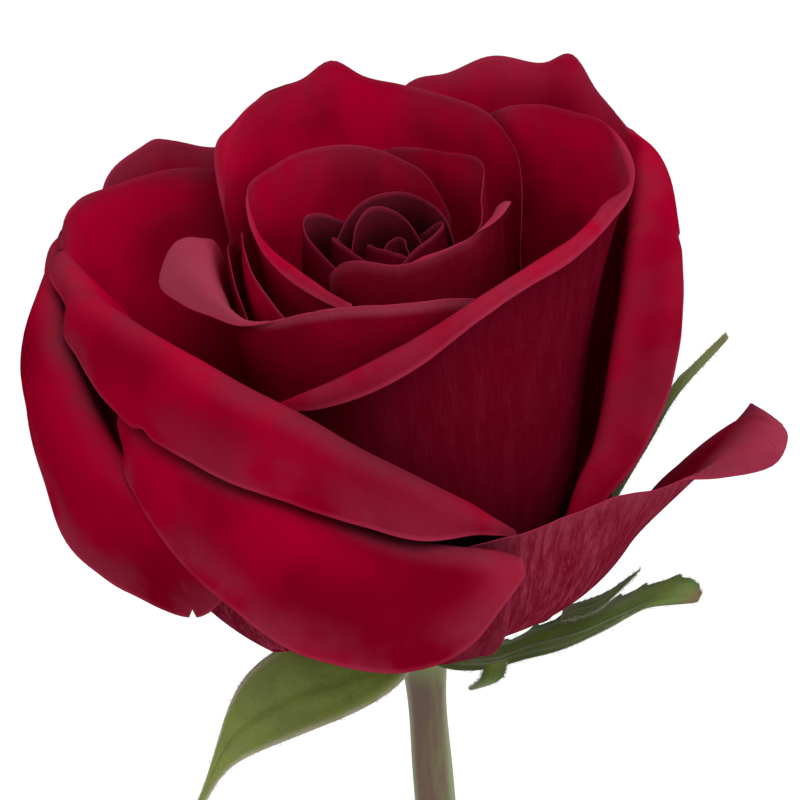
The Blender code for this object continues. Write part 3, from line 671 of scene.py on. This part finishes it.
def build_petal(p, rank, s, slot, material):
    """One petal: the profiles of its columns, swept round the bloom and given two faces."""
    first, last = p.columns[0][0], p.columns[-1][0]
    reach = max(c[1] for c in p.columns)
    spacing = s.spacing / MM
    columns = int(max(40, radians(last - first) * reach / spacing))
    angles = np.linspace(first, last, columns)
    curve, up_to_crest = petal_profiles(p, rank, angles)
    steps = np.linalg.norm(np.diff(curve, axis=1), axis=2).sum(axis=1)
    rows = int(max(40, 1.25 * steps.max() / spacing))

    # Each column stops a little short of the margin, unevenly, as a torn edge would
    turn = np.radians(angles)
    ragged = RAGGED * (1 + rim_waves(turn, rank + 5.0, reach * 0.8))
    for at, half, depth in NOTCHES.get(p.name, ()):
        ragged = ragged + depth * np.clip(1 - np.abs(angles - at) / half, 0, 1)
    t = np.linspace(0, 1, rows)
    shares = (1 - (1 - t)**1.5)[None] * (1 - ragged / steps)[:, None]
    profile, whole = even_rows(curve, shares)
    run = shares * whole[:, None]
    to_margin = (whole - ragged)[:, None] - run
    past_crest = run - up_to_crest[:, None]

    run_out, run_up = np.moveaxis(np.gradient(profile, axis=1), -1, 0)
    normal = unit(np.stack([run_up, -run_out], -1))
    free = 0.5 if slot == "heart_petal" else 1.0
    wave = rim_waves(turn, rank + 1.0, reach)[:, None]
    lift = free * s.ripple / MM * wave * np.exp(-to_margin / RIPPLE_REACH)
    for at, width, past, past_width, rise in PLEATS.get(p.name, ()):
        pleat = bump_at(angles, at, width)[:, None] * bump_at(past_crest, past, past_width)
        lift = lift + rise * pleat
    level = profile[..., 1]
    sway = shared_sway(turn[:, None], level) * smooth((level - SWAY_FROM) / SWAY_OVER)
    profile = profile + normal * lift[..., None]
    radius, height = profile[..., 0] + sway, profile[..., 1]
    grid = np.stack([radius * np.cos(turn)[:, None], radius * np.sin(turn)[:, None], height], -1)

    mean_radius = profile[..., 0].max(axis=1)[:, None]
    to_side = np.minimum(turn - turn[0], turn[-1] - turn)[:, None] * np.minimum(mean_radius, radius)
    to_edge = np.minimum(to_margin, to_side)
    wall, rim_wall = s.wall / MM, s.rim_wall / MM
    thickness = rim_wall + (wall - rim_wall) * smooth(to_edge / THINNING_REACH)
    points, faces, source, inner = two_faced(grid, thickness)

    def spread(values):
        return (values * np.ones_like(radius)).ravel()[source]

    fan = np.stack([spread(turn[:, None] * mean_radius), spread(run), spread(rank * 7.3)], -1)
    numbers = {"margin": spread(to_edge), "crest": spread(past_crest), "inner": inner}
    for label, value in zip(CHARACTER, CHARACTERS.get(p.name, PLAIN)):
        numbers[label] = spread(value)
    add_piece(p.name + "_fine", p.name, placed(points), faces, material, numbers,
              {"fan": fan})


class ROSE_OT_heart(bpy.types.Operator):
    """Wrapped petals of the heart"""
    bl_idname = "rose.heart"
    bl_label = "Heart petals"

    def execute(self, context):
        s = context.scene.rose_petals
        # Painted shade: the heart's dark velvet, darker still from 0.6 mm in from each rim
        velvet = petal_finish("heart_velvet", s, s.heart, s.heart, s.heart * 0.5,
                              (0.6, 6.0, 0.85))
        for rank, p in enumerate(PETALS[:len(HEART)]):
            build_petal(p, rank, s, "heart_petal", velvet)
        return {"FINISHED"}


class ROSE_OT_petals(bpy.types.Operator):
    """Open petals round the heart, most of them with a rolled rim"""
    bl_idname = "rose.petals"
    bl_label = "Open petals"

    def execute(self, context):
        s = context.scene.rose_petals
        velvet = petal_finish("petal_velvet", s, s.bright, s.lip, s.dark_patches_and_shade)
        for rank, p in enumerate(PETALS[len(HEART):], len(HEART)):
            build_petal(p, rank, s, "petal", velvet)
        return {"FINISHED"}


# Sepals

Sepal = namedtuple("Sepal", "name one_edge other_edge cup")
Sepal.__doc__ = """One sepal: its two edges from the hip to the tip, as angle, reach beyond
the hip and rise above the hip's rim, in degrees and millimetres, and how far
the middle is dished."""

SEPALS = [
    Sepal("sepal_left",
          [(259, 0, 0), (243, 4.1, -2.0), (233, 9.5, -2.6), (226, 16.9, -2.5),
           (222, 26.1, -2.6), (222, 31.8, -5.6), (223, 36.6, -10)],
          [(211, 0, 0), (207, 6.8, 3.4), (206, 11, 5.2), (208, 14.5, 6.4),
           (213, 21.9, 4.6), (219, 29.8, -3.6), (222, 36.4, -9.6)], 1.0),
    Sepal("sepal_right",
          [(284, 0, 0), (310, 5.2, 0.8), (325, 9, 1.8), (329, 14.5, 4.6),
           (333, 19.6, 8), (336, 24.9, 12), (339, 31.9, 13.4)],
          [(332, 0, 0), (340, 5.2, 1.4), (343, 10.2, 4.6), (343, 18.6, 9.2),
           (342, 25.4, 13.8), (341, 30.5, 16), (340, 32.4, 14.6)], 0.8),
    Sepal("sepal_right_back",
          [(-6, 0, 0), (2, 9.2, 3.5), (8, 17.1, 12.5), (9.5, 25, 25.2),
           (11, 29.6, 32.2), (13, 36.9, 38.6)],
          [(42, 0, 0), (32, 8.2, 3.5), (20, 17.1, 12.5), (14, 24.6, 25.8),
           (12.7, 29.2, 33.0), (13.4, 36.6, 39.3)], 0.5),
    Sepal("sepal_back",
          [(67, 0, 0), (71, 7.2, 0.6), (74, 14.2, 2.4), (82, 22.1, 2.2),
           (88, 28.1, -0.6), (91, 34.1, -5)],
          [(115, 0, 0), (113, 7.2, 0.6), (108, 14.2, 2.4), (100, 22.1, 2.2),
           (94, 28.1, -0.6), (92, 34.1, -5)], 0.9),
    Sepal("sepal_back_left",
          [(139, 0, 0), (142, 7.2, 0.4), (146, 14.2, 2), (153, 20.6, 1.8),
           (159, 23.2, 0.6), (162, 25.4, -1.0)],
          [(187, 0, 0), (185, 7.2, 0.4), (180, 14.2, 2), (172, 20.6, 1.8),
           (165, 23.2, 0.6), (163, 25.4, -1.0)], 0.9),
]

# Small blades on the right sepal, given by their two edges in the same way
LOBES = [
    Sepal("sepal_right", [(331, 14.5, 9.0), (332, 19.6, 12.0), (337, 24.6, 17.7)],
          [(340, 13.6, 8.8), (337, 19.6, 13.0), (337, 24.7, 18.0)], 0.3),
    Sepal("sepal_right", [(308, 6.6, 2.4), (303, 7.0, 1.0), (300, 5.2, -1.4)],
          [(316, 8.8, 3.4), (309, 9.4, 1.6), (301, 5.4, -1.6)], 0.3)]

# Depth of a blade's teeth, in millimetres, and how dark a sepal's green is, from 0 to 1
TEETH, PLAIN_TEETH = {"sepal_right": 0.95, "sepal_left": 0.0}, 0.15
DARKER = {"sepal_right": 1.0, "sepal_right_back": 0.6}
# Columns and rows of the mesh, and the hairs for each row, at the edges and under the blade
BLADE_MESH, LOBE_MESH = (31, 90), (15, 40)
EDGE_HAIRS, FACE_HAIRS = 8, 20
# In millimetres: thickness at a blade's edge, how far in it thins, and a hair's radius
SEPAL_RIM_WALL, SEPAL_THINNING, HAIR_RADIUS = 0.12, 1.2, 0.022
# The hip's radius at its rim, the levels of its rim and foot, and the sepals' distance from it
HIP_RADIUS, HIP_LEVEL, HIP_FOOT = 6.2, -6.0, -9.2
SEPAL_OFF_HIP = 0.65


def edge_places(edge, rows):
    """Angle, reach and rise at each row, smooth through those of one edge."""
    table = np.array(edge, float)
    row = np.linspace(0, len(edge) - 1, rows)
    return np.stack([through(row, np.arange(len(edge)), column) for column in table.T], -1)


def sepal_surface(s, columns, rows):
    """A blade between its two edges, its middle dished downwards, with slow twists."""
    one, other = edge_places(s.one_edge, rows), edge_places(s.other_edge, rows)
    across = np.linspace(0, 1, columns)[:, None, None]
    angle, reach, rise = np.moveaxis(one + across * (other - one), -1, 0)
    turn = np.radians(angle)
    radius = HIP_RADIUS + SEPAL_OFF_HIP + reach
    width = radius[0] * np.abs(turn[-1] - turn[0])
    along = np.linspace(0, 1, rows)
    depth = s.cup * np.minimum(1, width / 8) * along**0.5
    across = across[..., 0]
    height = HIP_LEVEL + rise - 4 * across * (1 - across) * depth
    rib = 0.22 * bump_at(across, 0.5, 0.09) + 0.07 * np.cos(18 * across + 5 * along)
    height = height - rib * smooth(width / 4) * smooth(along / 0.1)
    grid = np.stack([radius * np.cos(turn), radius * np.sin(turn), height], -1)
    return grid, across + 0 * along, along + 0 * across


def toothed(grid, across, along, seed, depth):
    """Uneven teeth on the last edge, whose points move out along the blade's width.

    A tooth is the square of a sine along the blade where the sine is above
    0. The seed shifts the teeth's uneven spacing, and they fade at both ends.
    """
    tooth = np.clip(np.sin(58 * along + 3.1 * np.sin(9 * along + seed)), 0, 1)**2
    fade = smooth(along / 0.15) * smooth((1 - along) / 0.15) * smooth((1 - along) / 0.12)
    near_edge = np.clip(2 * across - 1, 0, 1)**5
    spread = grid[-1:] - grid[:1]
    width = np.maximum(np.linalg.norm(spread, axis=-1, keepdims=True), 0.05)
    return grid + spread / width * (depth * tooth * fade * near_edge)[..., None]


def down(places, ways, long, rng):
    """Short hairs: each a three-sided spike on its place, leaning a little at random."""
    count = len(places)
    lean = unit(ways + 0.8 * rng.normal(size=(count, 3)))
    aside = unit(np.cross(lean, rng.normal(size=(count, 3))))
    third = np.cross(lean, aside)
    turns = np.arange(3) * 2 * pi / 3
    foot = (places[:, None] + HAIR_RADIUS * (np.cos(turns)[:, None] * aside[:, None]
                                             + np.sin(turns)[:, None] * third[:, None]))
    tips = places + long * lean * rng.uniform(0.45, 1.0, (count, 1))
    points = np.concatenate([foot, tips[:, None]], 1).reshape(-1, 3)
    base = 4 * np.arange(count)[:, None, None]
    faces = base + np.array([[0, 1, 3], [1, 2, 3], [2, 0, 3], [2, 1, 0]])
    return points, faces.reshape(-1, 3)


def sepal_finish(s):
    """Green at the hip and above, downy grey-green below, with pale pinkish edges.

    A darker sepal is deeper green along its middle and edges, with a red tip.
    """
    f = Finish("sepal_leaf")
    edge, along, upper = f.number("edge"), f.number("along"), f.number("inner")
    dark = f.number("dark")
    place = f.place()
    cloud = f.noise(place, 260.0, 4.0, 0.6)
    fuzz = f.noise(place, 2600.0, 2.0, 0.7)
    leaf = f.mix(cloud.rise(0.35, 0.7) * 0.6, s.leaf, s.leaf * 0.55)
    by_edge = edge.rise(3.2, 0.6) * cloud.rise(0.35, 0.6)
    furry = along.rise(0.1, 0.6) * 0.4 + by_edge * 0.5 + fuzz.rise(0.4, 0.65) * 0.45
    body = f.mix(furry * (1 - upper * 0.7), leaf, s.downy)
    pale = edge.rise(0.9, 0.1) * (0.6 - dark * 0.55) * (0.4 + 0.6 * cloud.rise(0.3, 0.6))
    colour = f.mix(pale, body, s.edge)
    colour = f.mix(along.rise(0.82, 0.98) * (1 - dark) * 0.6, colour, s.leaf * 1.2)
    colour = f.mix(dark * (along.rise(0.0, 0.45) * 0.45 + edge.rise(1.2, 0.2) * 0.45), colour,
                   (0.036, 0.078, 0.010))
    colour = f.mix(dark * along.rise(0.9, 1.0) * 0.6, colour, (0.13, 0.045, 0.035))
    relief = fuzz * 0.5 + cloud * 0.5
    return f.finish(Base_Color=colour, Roughness=0.62, Normal=f.bump(relief, 0.25 * MM, 0.7),
                    Specular_IOR_Level=0.3, Sheen_Weight=0.25, Sheen_Roughness=0.5,
                    Sheen_Tint=(0.9, 1.0, 0.8, 1.0))


def down_finish(s):
    """The sepals' pale edge colour, darker here and there."""
    f = Finish("sepal_down")
    tint = f.noise(f.place(), 700.0).rise(0.3, 0.7)
    colour = f.mix(tint, s.edge, s.edge * 0.6)
    return f.finish(Base_Color=colour, Roughness=0.6, Specular_IOR_Level=0.3)


def add_sepal(sepal, name, seed, mesh_size, s, leaf, hair):
    """One blade or side lobe with its teeth, and the down on its edges and lower face."""
    rng = np.random.default_rng(40 + seed)
    grid, across, along = sepal_surface(sepal, *mesh_size)
    grid = toothed(grid, across, along, seed + 1.0, TEETH.get(name, PLAIN_TEETH))
    width = np.linalg.norm(grid[-1] - grid[0], axis=-1)
    to_edge = (0.5 - np.abs(across - 0.5)) * width
    full = smooth(to_edge / SEPAL_THINNING) * smooth((1 - along) / 0.1)
    thickness = SEPAL_RIM_WALL + (s.wall / MM - SEPAL_RIM_WALL) * full
    points, faces, source, side = two_faced(grid, thickness)
    # The blade's upper face is the one whose normals rise
    rising = normals_of(grid)[..., 2].mean() > 0
    upper = 1 - side if rising else side
    add_piece(name + "_fine", sepal.name, placed(points), faces, leaf,
              {"edge": to_edge.ravel()[source], "along": along.ravel()[source], "inner": upper,
               "dark": np.full(len(points), DARKER.get(sepal.name, 0.0))})

    fringe = np.concatenate([grid[0, 4:], grid[-1, 4:]])
    outward = unit(np.concatenate([grid[0, 4:] - grid[3, 4:], grid[-1, 4:] - grid[-4, 4:]]))
    on_edge, on_face = EDGE_HAIRS * mesh_size[1], FACE_HAIRS * mesh_size[1]
    picks = rng.integers(0, len(fringe), on_edge)
    middle, normal = grid.reshape(-1, 3), normals_of(grid).reshape(-1, 3)
    low_way = -1.0 if rising else 1.0
    some = rng.integers(0, len(middle), on_face)
    places = np.concatenate([fringe[picks] + rng.normal(0, 0.12, (on_edge, 3)),
                             middle[some] + 0.12 * low_way * normal[some]])
    ways = np.concatenate([outward[picks], low_way * normal[some]])
    points, faces = down(places, ways, s.hair / MM, rng)
    add_piece(name + "_down", sepal.name, placed(points), faces, hair)


class ROSE_OT_sepals(bpy.types.Operator):
    """Five downy sepals under the bloom, with teeth and side lobes"""
    bl_idname = "rose.sepals"
    bl_label = "Sepals"

    def execute(self, context):
        s = context.scene.rose_greens
        leaf = sepal_finish(s)
        hair = down_finish(s)
        for rank, sepal in enumerate(SEPALS):
            add_sepal(sepal, sepal.name, rank, BLADE_MESH, s, leaf, hair)
        for rank, lobe in enumerate(LOBES):
            add_sepal(lobe, f"{lobe.name}_lobe_{rank + 1}", rank + 9, LOBE_MESH, s, leaf, hair)
        return {"FINISHED"}


# Turned pieces

def arc_between(start, start_angle, end, end_angle, pull, count):
    """Points of a Bezier that leaves and arrives at the given headings, without its start."""
    start, end = np.array(start, float), np.array(end, float)
    reach = pull * length(end - start)
    return bezier(start, start + reach * heading(start_angle), end - reach * heading(end_angle),
                  end, np.linspace(0, 1, count + 1)[1:])


def swept(profile, facets, centre, axes, wobble):
    """A closed body: a profile from axis to axis turned round the third of three axes.

    Each ring is the profile's radius and the wobble, times cosine and sine
    of the turn, and the two ends are single points that fans of triangles meet.
    """
    turn = np.linspace(0, 2 * pi, facets, endpoint=False)
    radius, height = profile[1:-1, 0][:, None], profile[1:-1, 1][:, None]
    radius = radius + wobble(turn, height)
    rings = np.stack([radius * np.cos(turn), radius * np.sin(turn), height + 0 * turn], -1)
    ends = [[0, 0, profile[0, 1]], [0, 0, profile[-1, 1]]]
    points = centre + MM * np.concatenate([rings.reshape(-1, 3), ends]) @ axes
    index = np.arange(rings.shape[0] * facets).reshape(-1, facets)
    onward = np.roll(index, -1, axis=1)
    quads = np.stack([index[:-1], onward[:-1], onward[1:], index[1:]], -1).reshape(-1, 4)
    first, last = index.size, index.size + 1
    foot = np.stack([onward[0], index[0], np.full(facets, first)], -1)
    head = np.stack([index[-1], onward[-1], np.full(facets, last)], -1)
    return points, quads.tolist() + foot.tolist() + head.tolist()


# The stem, in millimetres: its radius, that under the hip, and the length they blend over
STEM_RADIUS, STEM_TOP_RADIUS, STEM_FLARE = 2.8, 3.25, 20.0


def stem_profile(foot_level):
    """The stem from its cut foot to the hip, and the dome that carries the petals."""
    neck = (STEM_TOP_RADIUS, HIP_FOOT)
    bottom = (STEM_RADIUS, HIP_FOOT - STEM_FLARE)
    shaft = np.stack([np.full(200, STEM_RADIUS), np.linspace(foot_level + 0.4, bottom[1], 200)], -1)
    flare = arc_between(bottom, pi / 2, neck, radians(84), 0.4, 24)
    swell = arc_between(neck, radians(70), (HIP_RADIUS, HIP_LEVEL), radians(66), 0.3, 14)
    dome_radius, dome_height = DOME_RADIUS - 0.5, DOME_TOP - DOME_LEVEL
    shoulder = arc_between((HIP_RADIUS, HIP_LEVEL), radians(66), (dome_radius, DOME_LEVEL),
                           radians(90), 0.3, 8)
    a = np.linspace(0, pi / 2, 16)[1:]
    dome = np.stack([dome_radius * np.cos(a), DOME_LEVEL + dome_height * np.sin(a)], -1)
    dome[-1, 0] = 0
    foot = np.array([[0, foot_level], [STEM_RADIUS - 0.5, foot_level]])
    return np.concatenate([foot, shaft, flare, swell, shoulder, dome])


def stem_wobble(turn, height):
    """Faint unevenness of the shaft: two slow sines round and along it."""
    low = smooth((HIP_LEVEL - height) / 12) * 0.07
    return low * (np.sin(3 * turn + 0.11 * height) + np.sin(2 * turn - 0.19 * height + 1.0))


def stem_finish(s):
    """Brown bark on the sunny side, green on the other, pale green at the edges between."""
    f = Finish("stem_bark")
    place = f.place()
    around, level = f.vector("around"), f.number("level")
    streak = f.noise(f.stretched(around, (2.6, 2.6, 0.10)), 1.0, 3.0, 0.6)
    fleck = f.noise(place, 900.0, 3.0, 0.6)
    side = f.node("SeparateXYZ", inputs={0: around}, output=0)
    sunny = (side * -0.25 + streak).rise(0.2, 0.6)
    body = f.mix(sunny, s.bark_green, s.bark)
    pale = (side.size() - 0.5).rise(0.15, 0.48) * 0.55
    colour = f.mix(pale, body, (0.21, 0.24, 0.12))
    colour = f.mix(level.rise(-14.0, -7.0) * 0.7, colour, (0.14, 0.20, 0.06))
    colour = f.mix(fleck.rise(0.55, 0.75) * 0.3, colour, (0.07, 0.06, 0.03))
    relief = streak * 0.6 + fleck * 0.3
    return f.finish(Base_Color=colour, Roughness=0.5 + fleck * 0.15, Specular_IOR_Level=0.35,
                    Normal=f.bump(relief, 0.25 * MM, 0.5))


class ROSE_OT_stem(bpy.types.Operator):
    """Stem, hip and the dome that the petals stand on"""
    bl_idname = "rose.stem"
    bl_label = "Stem and hip"

    def execute(self, context):
        profile = stem_profile(in_bloom(node_points("stem_and_hip"))[:, 2].min())
        points, faces = swept(profile, 48, BLOOM_AT, BLOOM_AXES, stem_wobble)
        local = in_bloom(points)
        off_axis = np.maximum(length(local), 0.01)[:, None]
        around = np.concatenate([local[:, :2] / off_axis, local[:, 2:]], 1)
        add_piece("stem_fine", "stem_and_hip", points, faces,
                  stem_finish(context.scene.rose_greens), {"level": local[:, 2]},
                  {"around": around})
        return {"FINISHED"}


# Vase, in millimetres

VASE_HEIGHT, VASE_WALL, VASE_FLOOR = 170.0, 3.0, 6.0
VASE_BODY_RADIUS, VASE_BODY_LEVEL = 33.0, 52.0
VASE_FOOT_RADIUS, VASE_FOOT_CHAMFER = 22.0, 1.2
VASE_THROAT_RADIUS, VASE_THROAT_DROP, VASE_MOUTH_RADIUS = 8.6, 24.0, 10.4


def vase_side(inset, foot, count):
    """One side of the vase's wall from the foot to the mouth, set in from the outside."""
    up = pi / 2
    belly = (VASE_BODY_RADIUS - inset, VASE_BODY_LEVEL)
    throat = (VASE_THROAT_RADIUS + VASE_WALL - inset, VASE_HEIGHT - VASE_THROAT_DROP)
    mouth = (VASE_MOUTH_RADIUS + VASE_WALL - inset, VASE_HEIGHT - VASE_WALL / 2)
    return np.concatenate([[foot], arc_between(foot, radians(46), belly, up, 0.36, count),
                           arc_between(belly, up, throat, up, 0.46, 2 * count),
                           arc_between(throat, up, mouth, radians(80), 0.36, count // 2)])


def vase_profile():
    """The vase's outside from the axis to the mouth, and its inside from mouth to axis."""
    outside = vase_side(0, (VASE_FOOT_RADIUS, VASE_FOOT_CHAMFER), 40)
    inside = vase_side(VASE_WALL, (VASE_FOOT_RADIUS - VASE_WALL, VASE_FLOOR), 24)[::-1]
    a = np.linspace(0, pi, 14)[1:-1]
    half, middle = VASE_WALL / 2, VASE_MOUTH_RADIUS + VASE_WALL / 2
    lip = np.stack([middle + half * np.cos(a), VASE_HEIGHT - half + half * np.sin(a)], -1)
    base = VASE_FOOT_RADIUS - VASE_FOOT_CHAMFER
    foot = [(0, 1.0), (base - 3.6, 1.0), (base - 3.2, 0.0), (base, 0.0), (base + 0.5, 0.3)]
    return np.concatenate([foot, outside, lip, inside, [(0, VASE_FLOOR)]])


def vase_wobble(turn, height):
    """Faint throwing rings: a slow sine up the wall, a little stronger on one side."""
    return 0.05 * np.sin(1.9 * height + turn) * smooth((height - 4) / 6)


def glaze_finish(s):
    """Grey-green glaze, a little warmer where it thins, with fine specks and a bare foot ring."""
    f = Finish("vase_glaze")
    place = f.place()
    level = f.node("SeparateXYZ", inputs={0: place}, output=2)
    cloud = f.noise(place, 28.0, 4.0, 0.55)
    rings = f.noise(f.stretched(place, (20.0, 20.0, 420.0)), 1.0, 2.0, 0.5)
    speck = f.node("TexVoronoi", inputs={"Vector": place, "Scale": 330.0}).rise(0.16, 0.08)
    rare = f.noise(place, 190.0, 1.0).rise(0.56, 0.66)
    warm = np.multiply(s.glaze, (0.84, 0.86, 0.84))
    body = f.mix(cloud.rise(0.3, 0.75) * 0.55 + rings.rise(0.4, 0.7) * 0.15, s.glaze, warm)
    thin = level.rise((VASE_HEIGHT - 5.5) * MM, (VASE_HEIGHT - 0.6) * MM) * 0.45
    body = f.mix(thin, body, np.multiply(s.glaze, (0.95, 0.80, 0.60)))
    body = f.mix(speck * rare * 0.65, body, (0.07, 0.06, 0.045))
    bare = (level + cloud * 0.8 * MM).rise(2.2 * MM, 1.7 * MM)
    colour = f.mix(bare, body, s.clay)
    relief = rings * 0.35 + cloud * 0.6 + speck * rare * -0.3
    return f.finish(Base_Color=colour, Roughness=s.roughness + bare * 0.5 + rings * 0.06,
                    Normal=f.bump(relief, 0.4 * MM, 0.35), Specular_IOR_Level=0.5,
                    Coat_Weight=(1 - bare) * 0.5, Coat_Roughness=0.08)


class ROSE_OT_vase(bpy.types.Operator):
    """Plain glazed bottle-shaped bud vase"""
    bl_idname = "rose.vase"
    bl_label = "Vase"

    def execute(self, context):
        points, faces = swept(vase_profile(), 120, np.zeros(3), np.eye(3), vase_wobble)
        add_piece("vase_fine", "vase", points, faces,
                  glaze_finish(context.scene.rose_vase))
        return {"FINISHED"}


# Stage

# In metres: half the floor's width, the bloom's middle above its origin, and how far to the
# side of it the camera looks
FLOOR_HALF, BLOOM_MIDDLE, ASIDE = 6.0, 27 * MM, -2.7 * MM
# Lamps: name, place from the bloom's middle and size in metres, and share of the key's power
LAMPS = (("key", (0.14, -0.40, 0.70), 0.5, 1.0), ("side", (0.60, -0.25, 0.30), 0.4, 0.3))


class ROSE_OT_stage(bpy.types.Operator):
    """Pale floor, soft light and the camera"""
    bl_idname = "rose.stage"
    bl_label = "Stage"

    def execute(self, context):
        scene, s = context.scene, context.scene.rose_stage
        mesh = bpy.data.meshes.new("floor")
        signs = ((-1, -1), (1, -1), (1, 1), (-1, 1))
        mesh.from_pydata([(x * FLOOR_HALF, y * FLOOR_HALF, 0) for x, y in signs], [], [(0, 1, 2, 3)])
        f = Finish("floor_paper")
        tooth = f.noise(f.place(), 900.0)
        mesh.materials.append(f.finish(Base_Color=(*s.floor, 1.0), Roughness=0.9 + tooth * 0.05))
        floor = bpy.data.objects.new("floor", mesh)
        scene.collection.objects.link(floor)

        world = bpy.data.worlds.new("studio")
        world.use_nodes = True
        backdrop = world.node_tree.nodes["Background"]
        backdrop.inputs["Color"].default_value = (1, 1, 1, 1)
        backdrop.inputs["Strength"].default_value = s.sky
        scene.world = world
        scene.view_settings.view_transform = "Standard"

        heart = Vector(BLOOM_AT) + Vector((0, 0, BLOOM_MIDDLE))
        for name, place, width, share in LAMPS:
            lamp = bpy.data.lights.new(name, "AREA")
            lamp.size, lamp.energy = width, s.key * share
            light = bpy.data.objects.new(name, lamp)
            light.location = heart + Vector(place)
            light.rotation_euler = (-Vector(place)).to_track_quat("-Z", "Y").to_euler()
            scene.collection.objects.link(light)

        lens = bpy.data.cameras.new("camera")
        lens.lens = lens.sensor_width * s.distance / s.field
        camera = bpy.data.objects.new("camera", lens)
        towards = Vector((0, -cos(s.elevation), sin(s.elevation)))
        picture_up = Vector((0, sin(s.elevation), cos(s.elevation)))
        middle = Vector(BLOOM_AT) + Vector((ASIDE, 0, 0)) + BLOOM_MIDDLE * picture_up
        camera.location = middle + s.distance * towards
        camera.rotation_euler = (pi / 2 - s.elevation, 0, 0)
        scene.collection.objects.link(camera)
        scene.camera = camera
        return {"FINISHED"}


class ROSE_PT_panel(bpy.types.Panel):
    """The rose's pieces and their settings"""
    bl_idname = "ROSE_PT_panel"
    bl_label = "Rose in a bud vase"
    bl_space_type = "VIEW_3D"
    bl_region_type = "UI"
    bl_category = "Rose"

    def draw(self, context):
        for operator in OPERATORS:
            self.layout.operator(operator.bl_idname)
        for group in GROUPS:
            settings = getattr(context.scene, group)
            box = self.layout.box()
            for key in settings.__annotations__:
                box.prop(settings, key)


GROUPS = {"rose_petals": PetalSettings, "rose_greens": GreenSettings,
          "rose_vase": VaseSettings, "rose_stage": StageSettings}
OPERATORS = (ROSE_OT_heart, ROSE_OT_petals, ROSE_OT_sepals, ROSE_OT_stem, ROSE_OT_vase,
             ROSE_OT_stage)


def register():
    for group in (*GROUPS.values(), *OPERATORS, ROSE_PT_panel):
        bpy.utils.register_class(group)
    for name, group in GROUPS.items():
        setattr(bpy.types.Scene, name, PointerProperty(type=group))


def unregister():
    for name in GROUPS:
        delattr(bpy.types.Scene, name)
    for group in reversed((*GROUPS.values(), *OPERATORS, ROSE_PT_panel)):
        bpy.utils.unregister_class(group)


def main():
    register()
    bpy.ops.rose.heart()
    bpy.ops.rose.petals()
    bpy.ops.rose.sepals()
    bpy.ops.rose.stem()
    bpy.ops.rose.vase()
    bpy.ops.rose.stage()


if __name__ == "__main__":
    main()
